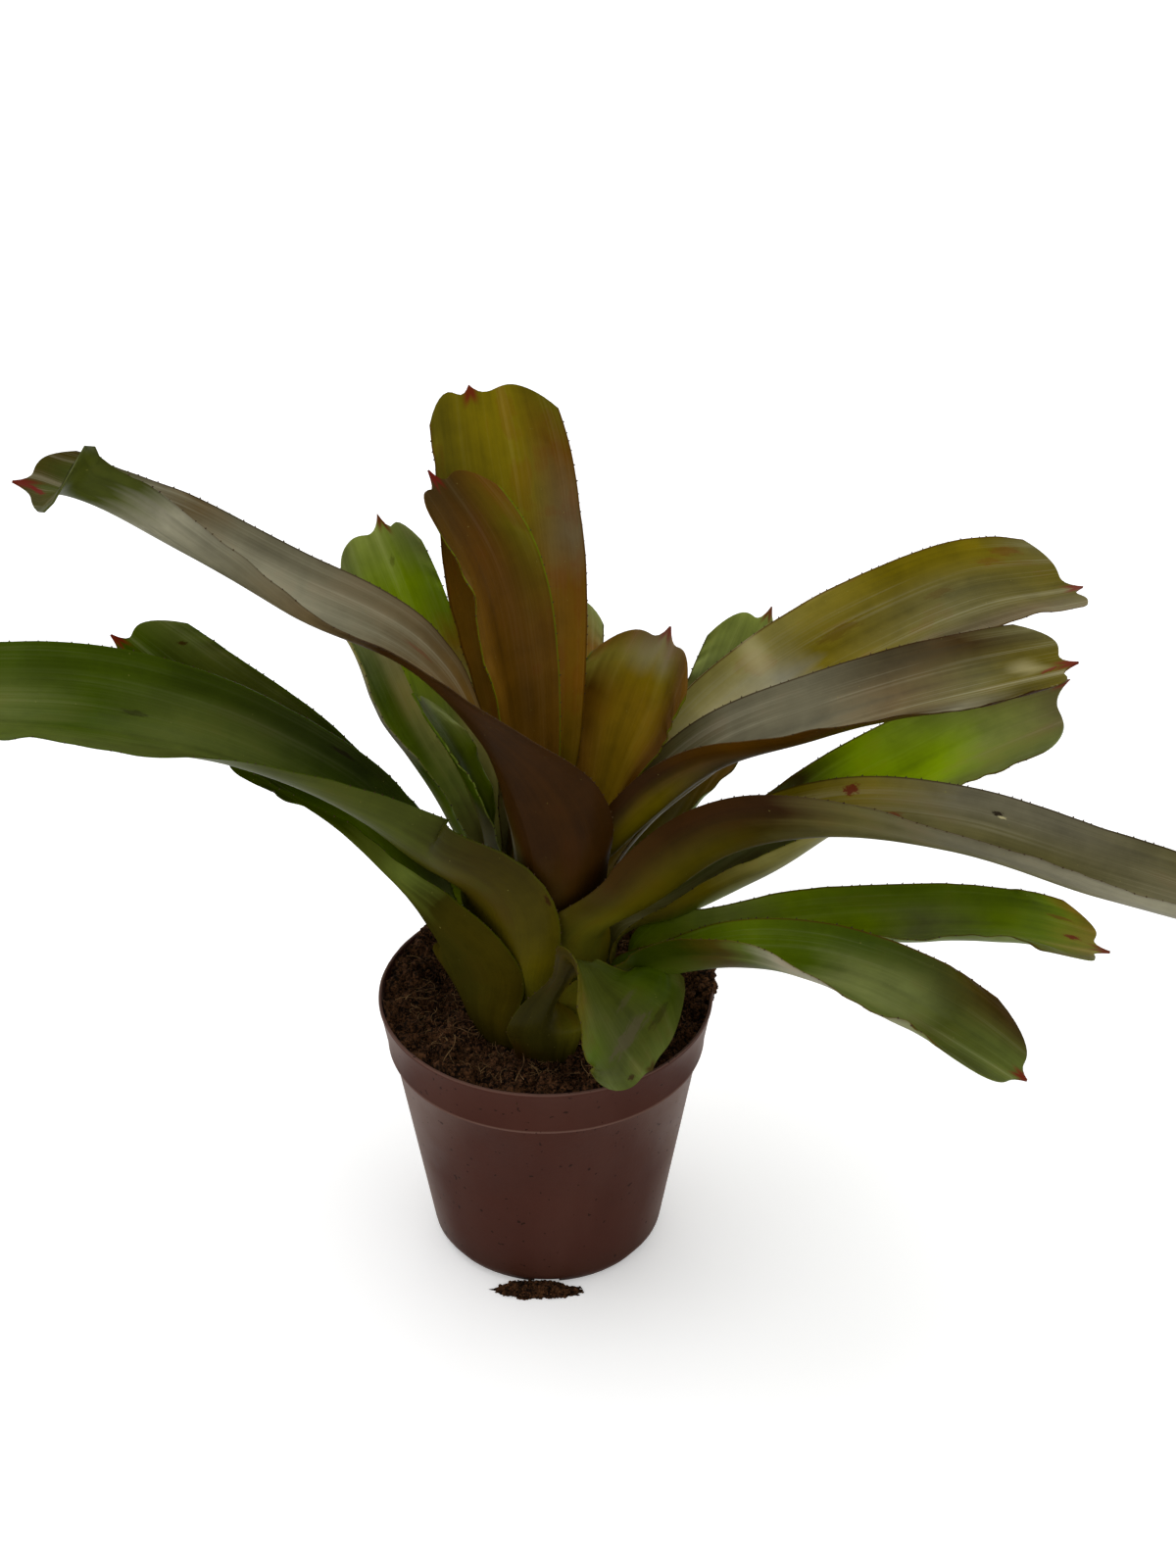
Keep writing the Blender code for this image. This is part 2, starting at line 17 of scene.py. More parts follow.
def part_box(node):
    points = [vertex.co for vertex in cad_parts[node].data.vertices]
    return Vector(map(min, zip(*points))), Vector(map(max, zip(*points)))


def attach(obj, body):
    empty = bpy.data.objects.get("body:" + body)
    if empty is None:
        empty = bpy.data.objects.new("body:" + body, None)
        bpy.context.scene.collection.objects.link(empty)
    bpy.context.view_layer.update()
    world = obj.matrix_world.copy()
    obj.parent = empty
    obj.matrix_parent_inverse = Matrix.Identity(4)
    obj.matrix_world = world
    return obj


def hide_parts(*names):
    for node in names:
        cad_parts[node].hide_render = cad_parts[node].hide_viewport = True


bl_info = {
    "name": "Potted bromeliad",
    "version": (1, 0, 0),
    "blender": (4, 5, 0),
    "location": "View3D > Sidebar > Bromeliad",
    "description": "Makes the leaves, peat and nursery pot of a potted bromeliad and its plain stage",
    "category": "Object",
}

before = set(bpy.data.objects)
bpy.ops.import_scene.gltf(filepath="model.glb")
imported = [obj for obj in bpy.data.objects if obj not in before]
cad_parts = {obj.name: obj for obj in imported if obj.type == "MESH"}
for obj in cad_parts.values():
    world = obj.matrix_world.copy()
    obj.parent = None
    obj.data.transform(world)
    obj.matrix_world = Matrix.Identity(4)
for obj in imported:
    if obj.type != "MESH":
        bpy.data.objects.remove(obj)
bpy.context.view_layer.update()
POT_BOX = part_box("nursery_pot")
SPILL_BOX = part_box("peat_spill")

# ---------------------------------------------------------------- nest and blade sizes
NEST_FLOOR = 0.0988  # height that the sheaths stand on
NEST_INNER_RADIUS = 0.0066  # of the innermost sheath
NEST_PITCH = 0.00120  # radius from one place in the nest to the next
NEST_FLARE = 0.07  # outward lean of the innermost sheath
NEST_FLARE_PITCH = 0.0125  # lean from one place in the nest to the next
STEM_AXIS = (0.0, -0.004)
SPINE_SHARE = 0.34  # the end spine's foot, as a share of the half width
NECK_SHARE = 0.30  # where the neck lies between the sheath and the tip
TAPER_START = 0.93  # share of the length where the end narrows
BLADE_TAPER = (1.0, 0.92, 0.80)  # width at the middle, at TAPER_START and at the end
TRIM_START = 0.72  # share of the length where lines begin to follow the trimmed end
ROOT_SHARE = 0.7  # width of the sheath's root, as a share of its top's
MIDRIB_POINTS = 240
SECTION_POINTS = 41
CREASE_SHARPNESS = 5.0
THICKNESS_RUN = ((0.0, 0.3, 0.55, 1.0), (0.35, 0.38, 0.5, 0.3))  # shares of the length and of the thickness
MARGIN_THINNING = 0.72  # what the margin loses of the thickness
KEEL_HEIGHT = 0.25  # what the midrib gains
KEEL_REACH = 0.10  # in half widths
BLADE_WAVES = 7.0  # pace of the lazy waves along a blade
BLADE_RIPPLES = 26.0  # pace of the ripples along its margins


@dataclass(frozen=True)
class Leaf:
    """One leaf. Lengths are metres and angles degrees.

    azimuth: the way the blade leaves the stem. ring: place of its sheath in the
    nest, 0 innermost. sheath: its height, its widths round the stem to the right
    and to the left of the midrib, and how far round to the left of the azimuth it
    is rooted. path: midrib points after the sheath as (reach from the stem's axis,
    height above the pot's underside, shift to the leaf's left). half_width: of
    the blade. cup, roll: (share of the length, angle) keys for half the bend
    across the blade and for its turn about the midrib. tip: how far the corners
    are rounded back and how deep the notch beside the spine is. crease: 0 for a
    round channel to 1 for a folded one. opening: where the sheath has become the
    blade, in sheath lengths. neck: width of the narrow part above the sheath, as
    a share of the blade's. spine: how far the spine stands out past the corners.
    flap: where the left margin juts out, over what share of the length and how far.
    skew: how far left of the midrib the spine stands, as a share of the half width.
    """

    name: str
    azimuth: float
    ring: float
    sheath: tuple
    path: tuple
    half_width: float
    cup: tuple = ((0.15, 55.0), (0.35, 85.0), (0.65, 50.0), (1.0, 25.0))
    roll: tuple = ((0.0, 0.0), (1.0, 0.0))
    tip: tuple = (0.014, 0.003)
    crease: float = 0.3
    opening: float = 1.4
    neck: float = 0.90
    spine: float = 0.0042
    flap: tuple = (0.5, 1.0, 0.0)
    skew: float = 0.0


LEAVES = (
    Leaf("leaf_heart", 38, 0, (0.060, 0.011, 0.011, 0),
         ((0.019, 0.172, -0.004), (0.030, 0.194, -0.004), (0.043, 0.216, -0.002), (0.055, 0.237, 0.0)),
         0.0260, cup=((0.3, 70.0), (0.6, 42.0), (1.0, 20.0)), tip=(0.015, 0.002), neck=0.52),
    Leaf("leaf_heart_left", 140, 1.4, (0.065, 0.013, 0.013, 0),
         ((0.011, 0.195, 0.0), (0.015, 0.236, 0.0), (0.026, 0.274, 0.0), (0.047, 0.300, 0.003)), 0.0195,
         cup=((0.3, 62.0), (0.6, 45.0), (1.0, 30.0)), neck=0.80),
    Leaf("leaf_back_tall", 107, 3.2, (0.070, 0.013, 0.013, 0),
         ((0.023, 0.200, -0.001), (0.034, 0.250, 0.0), (0.050, 0.287, 0.0), (0.068, 0.314, 0.0)),
         0.0260, cup=((0.3, 50.0), (0.6, 36.0), (1.0, 20.0)), tip=(0.012, 0.004), neck=0.80, spine=0.0006,
         skew=0.28),
    Leaf("leaf_right_upper", 2, 3, (0.060, 0.013, 0.013, -20),
         ((0.028, 0.175, -0.006), (0.055, 0.197, 0.0), (0.095, 0.214, 0.0), (0.140, 0.229, 0.0),
          (0.180, 0.239, 0.0)), 0.0230, roll=((0.0, 0.0), (0.3, -28.0), (0.6, -2.0), (1.0, 6.0))),
    Leaf("leaf_left_inner", 183, 4.75, (0.050, 0.002, 0.010, 0),
         ((0.020, 0.172, 0.0), (0.029, 0.203, 0.0), (0.044, 0.232, 0.0)), 0.0125,
         cup=((0.2, 35.0), (0.6, 40.0), (1.0, 20.0))),
    Leaf("leaf_right_top", 26, 5.3, (0.048, 0.010, 0.010, 0),
         ((0.030, 0.161, 0.0), (0.052, 0.181, 0.0), (0.085, 0.201, 0.0), (0.125, 0.216, 0.0),
          (0.170, 0.224, 0.0), (0.214, 0.221, 0.0)), 0.025, cup=((0.15, 55.0), (0.4, 62.0), (1.0, 25.0)),
         roll=((0.0, 0.0), (0.4, 8.0), (1.0, 10.0)), tip=(0.008, 0.003), skew=-0.2),
    Leaf("leaf_left_long", 188, 6.2, (0.092, 0.008, 0.030, 72),
         ((0.016, 0.214, 0.022), (0.026, 0.230, 0.017), (0.042, 0.248, 0.010), (0.085, 0.272, 0.0),
          (0.122, 0.2985, 0.0), (0.148, 0.316, 0.0), (0.167, 0.3225, 0.0)), 0.0210,
         cup=((0.3, 50.0), (0.4, 42.0), (0.7, 60.0), (0.9, 72.0), (0.955, 62.0), (0.975, 20.0), (1.0, 25.0)),
         roll=((0.0, 0.0), (0.25, 6.0), (0.38, 30.0), (0.5, 2.0), (0.6, -4.0), (0.82, 8.0), (0.92, 24.0),
               (0.955, 14.0), (0.975, -12.0), (1.0, -12.0)),
         tip=(0.012, 0.0), spine=0.006, flap=(0.958, 0.026, 0.026)),
    Leaf("leaf_left_back", 158, 8.3, (0.050, 0.010, 0.010, 0),
         ((0.038, 0.175, 0.0), (0.055, 0.202, 0.0), (0.074, 0.240, 0.0), (0.111, 0.268, 0.0)), 0.0130,
         roll=((0.0, 0.0), (0.5, 0.0), (1.0, 15.0))),
    Leaf("leaf_right_long", -18, 8.8, (0.044, 0.022, 0.012, -28),
         ((0.040, 0.157, -0.006), (0.065, 0.179, 0.0), (0.098, 0.194, 0.0), (0.141, 0.199, 0.0),
          (0.192, 0.189, 0.003), (0.240, 0.181, 0.006)), 0.0220,
         cup=((0.15, 50.0), (0.35, 85.0), (0.65, 68.0), (1.0, 72.0)),
         roll=((0.0, 0.0), (0.15, -14.0), (0.35, -34.0), (0.6, -8.0), (1.0, 2.0)), neck=1.0),
    Leaf("leaf_back_left", 130, 10.0, (0.040, 0.013, 0.013, 0),
         ((0.046, 0.163, 0.0), (0.070, 0.206, 0.0), (0.101, 0.255, 0.0)), 0.0195, tip=(0.010, 0.003),
         skew=-0.43),
    Leaf("leaf_right_middle", 8, 11.3, (0.032, 0.013, 0.013, 0),
         ((0.045, 0.135, 0.0), (0.074, 0.149, 0.0), (0.112, 0.175, 0.0), (0.153, 0.196, 0.0),
          (0.188, 0.210, 0.0)), 0.024,
         roll=((0.0, 0.0), (0.1, 0.0), (0.22, -6.0), (0.4, 0.0), (1.0, 15.0)), tip=(0.012, 0.001),
         spine=0.0075, skew=0.6),
    Leaf("leaf_left_broad", 187, 11, (0.064, 0.014, 0.031, 30),
         ((0.044, 0.171, 0.008), (0.062, 0.187, 0.002), (0.100, 0.212, 0.0), (0.148, 0.231, 0.0),
          (0.225, 0.240, 0.0)), 0.027,
         roll=((0.0, 0.0), (0.14, 0.0), (0.27, 20.0), (0.42, -3.0), (0.65, -14.0), (1.0, -3.0)),
         neck=0.76),
    Leaf("leaf_back_hidden", 88, 11.4, (0.034, 0.013, 0.013, 0),
         ((0.050, 0.146, 0.0), (0.080, 0.178, 0.0), (0.120, 0.203, 0.0)), 0.019),
    Leaf("leaf_back_right", 51, 12.9, (0.024, 0.013, 0.013, 0),
         ((0.052, 0.132, 0.0), (0.085, 0.150, 0.0), (0.113, 0.178, 0.0), (0.131, 0.206, 0.0)), 0.020),
    Leaf("leaf_back_left_low", 141, 12.6, (0.026, 0.013, 0.013, 0),
         ((0.055, 0.130, 0.0), (0.100, 0.1455, 0.0), (0.149, 0.1480, 0.0)), 0.021, tip=(0.030, 0.0),
         spine=0.001),
    Leaf("leaf_back_low", 96, 13.8, (0.024, 0.013, 0.013, 0),
         ((0.058, 0.130, 0.0), (0.100, 0.140, 0.0), (0.150, 0.132, 0.0)), 0.022),
    Leaf("leaf_right_front", -35, 14.6, (0.024, 0.015, 0.012, -16),
         ((0.046, 0.132, 0.0), (0.083, 0.152, 0.0), (0.129, 0.163, 0.0), (0.173, 0.157, 0.0),
          (0.190, 0.152, 0.0)), 0.0205,
         roll=((0.0, 0.0), (0.3, -14.0), (0.7, -4.0), (1.0, 0.0)), tip=(0.020, 0.0)),
    Leaf("leaf_left_low", 168, 17.4, (0.036, 0.014, 0.029, 36),
         ((0.040, 0.145, 0.016), (0.058, 0.162, 0.008), (0.090, 0.185, 0.0), (0.125, 0.211, 0.0),
          (0.152, 0.235, 0.0)), 0.024, cup=((0.15, 45.0), (0.35, 75.0), (0.65, 50.0), (1.0, 25.0)),
         roll=((0.0, 0.0), (0.05, 0.0), (0.18, 26.0), (0.38, 0.0), (0.6, -14.0), (1.0, -8.0))),
    Leaf("leaf_right_lower", -10, 18, (0.016, 0.014, 0.014, 0),
         ((0.048, 0.125, 0.0), (0.080, 0.137, 0.0), (0.120, 0.146, 0.0), (0.165, 0.152, 0.0),
          (0.196, 0.148, 0.0)), 0.0195,
         roll=((0.0, 0.0), (0.3, 6.0), (0.55, 0.0), (1.0, -6.0)), flap=(0.16, 0.10, 0.007)),
    Leaf("leaf_front_short", 302, 21.2, (0.020, 0.0115, 0.015, -34),
         ((0.036, 0.138, -0.016), (0.042, 0.150, -0.013), (0.0525, 0.142, -0.011), (0.061, 0.1245, -0.003),
          (0.064, 0.112, 0.003)), 0.0225,
         cup=((0.1, 35.0), (0.3, 60.0), (0.45, 30.0), (0.65, 15.0), (1.0, 10.0)),
         roll=((0.0, 0.0), (0.3, 0.0), (0.5, -34.0), (0.75, -24.0), (1.0, -10.0)),
         tip=(0.018, 0.001), neck=0.18, spine=0.001, flap=(0.88, 0.24, 0.012)),
)


# ---------------------------------------------------------------- blade geometry
def through_knots(knots, values, places):
    """A smooth cubic through values at the knots, read at places."""
    knots = np.asarray(knots, float)
    values = np.asarray(values, float)
    slopes = np.gradient(values, knots, axis=0)
    span = np.clip(np.searchsorted(knots, places, side="right") - 1, 0, len(knots) - 2)
    width = knots[span + 1] - knots[span]
    share = (np.clip(places, knots[0], knots[-1]) - knots[span]) / width
    if values.ndim == 2:
        width = width[:, None]
        share = share[:, None]
    rise = share * share * (3.0 - 2.0 * share)
    leave = share * (1.0 - share) ** 2
    arrive = share * share * (share - 1.0)
    ends = values[span] * (1.0 - rise) + values[span + 1] * rise
    return ends + width * (leave * slopes[span] + arrive * slopes[span + 1])


def smooth_step(low, high, value):
    """0 below low, 1 above high, and a smooth rise between."""
    share = np.clip((value - low) / (high - low), 0.0, 1.0)
    return share * share * (3.0 - 2.0 * share)


def midrib(leaf):
    """(points, lengths): a fine run of points up the midrib and the length to each."""
    height, _, _, turn = leaf.sheath
    root = NEST_INNER_RADIUS + NEST_PITCH * leaf.ring
    flare = NEST_FLARE + NEST_FLARE_PITCH * leaf.ring
    bearing = np.radians(turn)
    points = []
    for share in (0.0, 0.5, 1.0):
        radius = root + flare * height * share
        points.append((radius * np.cos(bearing), radius * np.sin(bearing), NEST_FLOOR + height * share))
    points = np.array(points + [(reach, shift, rise) for reach, rise, shift in leaf.path])
    chords = np.linalg.norm(np.diff(points, axis=0), axis=1)
    ends = np.concatenate([[0.0], np.cumsum(chords)])
    fine = through_knots(ends, points, np.linspace(0.0, ends[-1], MIDRIB_POINTS))
    steps = np.linalg.norm(np.diff(fine, axis=0), axis=1)
    return fine, np.concatenate([[0.0], np.cumsum(steps)])


def tip_trim(leaf, across):
    """How far each lengthwise line stops short of the midrib's end.

    The end has two rounded corners, with a notch between them that the spine's
    broad foot stands in.
    """
    corner, notch = leaf.tip
    offset = across - leaf.skew
    reach = np.abs(offset) / (1.0 - leaf.skew * np.sign(offset))
    foot = np.clip(1.0 - reach / SPINE_SHARE, 0.0, 1.0) ** 2.4
    hollow = np.cos(0.5 * np.pi * np.clip(reach / 0.6, 0.0, 1.0)) ** 2
    return leaf.spine + corner * reach**4 + notch * hollow - (leaf.spine + notch) * foot


def turned_about(vector, axis, cosine, sine):
    """The vector turned about a unit axis that is square to it."""
    return vector * cosine + np.cross(axis, vector) * sine


def unit(vectors):
    """The vectors at length 1."""
    return vectors / np.linalg.norm(vectors, axis=-1, keepdims=True)


def section(across, bend, crease):
    """(sideways, upward) of a channel one unit wide each side, as shares of the half width.

    The direction turns by bend from the midrib to the margin. A crease gathers
    that turn at the midrib, which makes the channel V-shaped.
    """
    fine = np.linspace(0.0, 1.0, SECTION_POINTS)
    fold = np.tanh(fine * CREASE_SHARPNESS)
    share = (1.0 - crease[:, None]) * fine[None, :] + crease[:, None] * fold[None, :]
    heading = bend[:, None] * share
    step = fine[1]
    middle = 0.5 * (heading[:, 1:] + heading[:, :-1])
    reach = np.concatenate([np.zeros((len(bend), 1)), np.cumsum(np.cos(middle), axis=1) * step], axis=1)
    climb = np.concatenate([np.zeros((len(bend), 1)), np.cumsum(np.sin(middle), axis=1) * step], axis=1)
    place = np.abs(across) * (SECTION_POINTS - 1)
    low = np.minimum(place.astype(int), SECTION_POINTS - 2)
    part = place - low
    rows = np.arange(len(bend))
    sideways = reach[rows, low] * (1.0 - part) + reach[rows, low + 1] * part
    upward = climb[rows, low] * (1.0 - part) + climb[rows, low + 1] * part
    return sideways * np.sign(across), upward


def middle_surface(leaf, across, along):
    """Points of the leaf's middle surface, for every pair of along and across."""
    height, sheath_right, sheath_left, sheath_turn = leaf.sheath
    fine, lengths = midrib(leaf)
    total = lengths[-1]
    late = smooth_step(TRIM_START, 1.0, along)[:, None]
    shares = (along[:, None] - late * (tip_trim(leaf, across) / total)[None, :]).ravel()
    sides = np.tile(across, len(along))
    slopes = np.gradient(fine, lengths, axis=0)
    centre = np.stack([np.interp(shares * total, lengths, fine[:, k]) for k in range(3)], -1)
    tangent = unit(np.stack([np.interp(shares * total, lengths, slopes[:, k]) for k in range(3)], -1))

    sheath_end = height / total
    free = smooth_step(0.75 * sheath_end, leaf.opening * sheath_end, shares)
    lean = smooth_step(0.1 * sheath_end, 1.3 * sheath_end, shares)[:, None]
    bearing = np.radians(sheath_turn) * (1.0 - free)
    level = np.stack([-np.sin(bearing), np.cos(bearing), np.zeros_like(bearing)], -1)
    side = unit(level - tangent * np.sum(tangent * level, axis=1, keepdims=True))
    inward = np.stack([-np.cos(bearing), -np.sin(bearing), np.zeros_like(bearing)], -1)
    normal = unit(inward * (1.0 - lean) + np.cross(tangent, side) * lean)
    roll = np.radians(through_knots(*zip(*leaf.roll), shares))[:, None]
    side, normal = (turned_about(part, tangent, np.cos(roll), np.sin(roll)) for part in (side, normal))

    neck = sheath_end + NECK_SHARE * (1.0 - sheath_end)
    places = (0.0, sheath_end, neck, 0.5 + 0.5 * neck, TAPER_START, 1.0)
    blade = [share * leaf.half_width for share in (leaf.neck, *BLADE_TAPER)]
    half_right, half_left = (
        through_knots(places, (ROOT_SHARE * low, low, *blade), shares) for low in (sheath_right, sheath_left)
    )
    place, span, rise = leaf.flap
    half_left = half_left + rise * np.clip(1.0 - np.abs(shares - place) / span, 0.0, 1.0) ** 1.4
    half = np.where(sides < 0.0, half_right, half_left)
    wrap = half / np.maximum(np.hypot(centre[:, 0], centre[:, 1]), 0.5 * NEST_INNER_RADIUS)
    cup = np.radians(through_knots(*zip(*leaf.cup), shares))
    sideways, upward = section(sides, wrap * (1.0 - free) + cup * free, leaf.crease * free)
    local = centre + side * (half * sideways)[:, None] + normal * (half * upward)[:, None]

    azimuth = np.radians(leaf.azimuth)
    placed = np.stack([
        local[:, 0] * np.cos(azimuth) - local[:, 1] * np.sin(azimuth) + STEM_AXIS[0],
        local[:, 0] * np.sin(azimuth) + local[:, 1] * np.cos(azimuth) + STEM_AXIS[1],
        local[:, 2],
    ], -1)
    return placed.reshape(len(along), len(across), 3)


# ---------------------------------------------------------------- leaf colours
def shade(red, green, blue):
    """A linear colour from display values out of 255."""
    display = np.array((red, green, blue)) / 255.0
    linear = np.where(display <= 0.04045, display / 12.92, ((display + 0.055) / 1.055) ** 2.4)
    return tuple(float(value) for value in linear)


PALETTE = {
    "sheath": shade(84, 80, 14),
    "sheath_pale": shade(110, 106, 26),
    "sheath_dark": shade(50, 42, 6),
    "maroon": shade(50, 28, 4),
    "umber": shade(60, 42, 8),
    "brown": shade(80, 50, 3),
    "bronze": shade(90, 60, 6),
    "rust": shade(108, 74, 12),
    "tan": shade(122, 96, 10),
    "orange": shade(131, 94, 18),
    "mauve_dark": shade(80, 72, 50),
    "mauve": shade(104, 88, 58),
    "mauve_grey": shade(112, 107, 84),
    # silver and cream also serve the leaves as painted sheen and painted highlights
    "silver": shade(150, 146, 122),
    "cream": shade(205, 195, 145),
    "olive_night": shade(48, 44, 8),
    "olive_dark": shade(64, 54, 6),
    "olive": shade(90, 80, 4),
    "gold": shade(112, 98, 2),
    "yellow_olive": shade(126, 114, 38),
    "straw_green": shade(150, 142, 76),
    "khaki": shade(98, 92, 50),
    "night": shade(42, 52, 0),
    "shadow_green": shade(32, 40, 0),
    "deep": shade(58, 74, 0),
    "green": shade(74, 92, 0),
    "leaf": shade(94, 114, 0),
    "fresh": shade(122, 144, 0),
    "bright": shade(164, 198, 0),
    "grey_green": shade(84, 94, 36),
    "dull_green": shade(66, 72, 20),
    "sage": shade(108, 116, 60),
    "pale_green": shade(138, 150, 66),
    "red": shade(104, 16, 12),
    "scar": shade(30, 18, 8),
}


@dataclass(frozen=True)
class Mark:
    """A scar, a patch or a soft highlight at one place of a blade.

    across: -1 at the right margin to 1 at the left one. along: share of the
    length. width, length: metres. ragged: 0 for a soft edge to 1 for a torn one.
    """

    across: float
    along: float
    width: float
    length: float
    colour: str = "red"
    strength: float = 0.85
    face: str = "inner"
    ragged: float = 1.0


@dataclass(frozen=True)
class Look:
    """A leaf's colours, as runs of "percent of the length, palette name".

    A run that starts past 0 has the sheath's colour at 0. inner, outer: the runs
    of each face along its right margin, its middle and its left margin, or a
    single run. blush: strength of the red-brown blotches. rim: colour of the thin
    margin. sheen: strength of the pale streaks of waxy bloom and painted sheen. tip: colour at the tip.
    shine: the skin's gloss, as a share of what the leaves share. marks: patches.
    """

    inner: tuple
    outer: tuple
    blush: float = 0.15
    rim: str = "olive_dark"
    sheen: float = 0.10
    tip: str = "red"
    shine: float = 1.0
    marks: tuple = ()


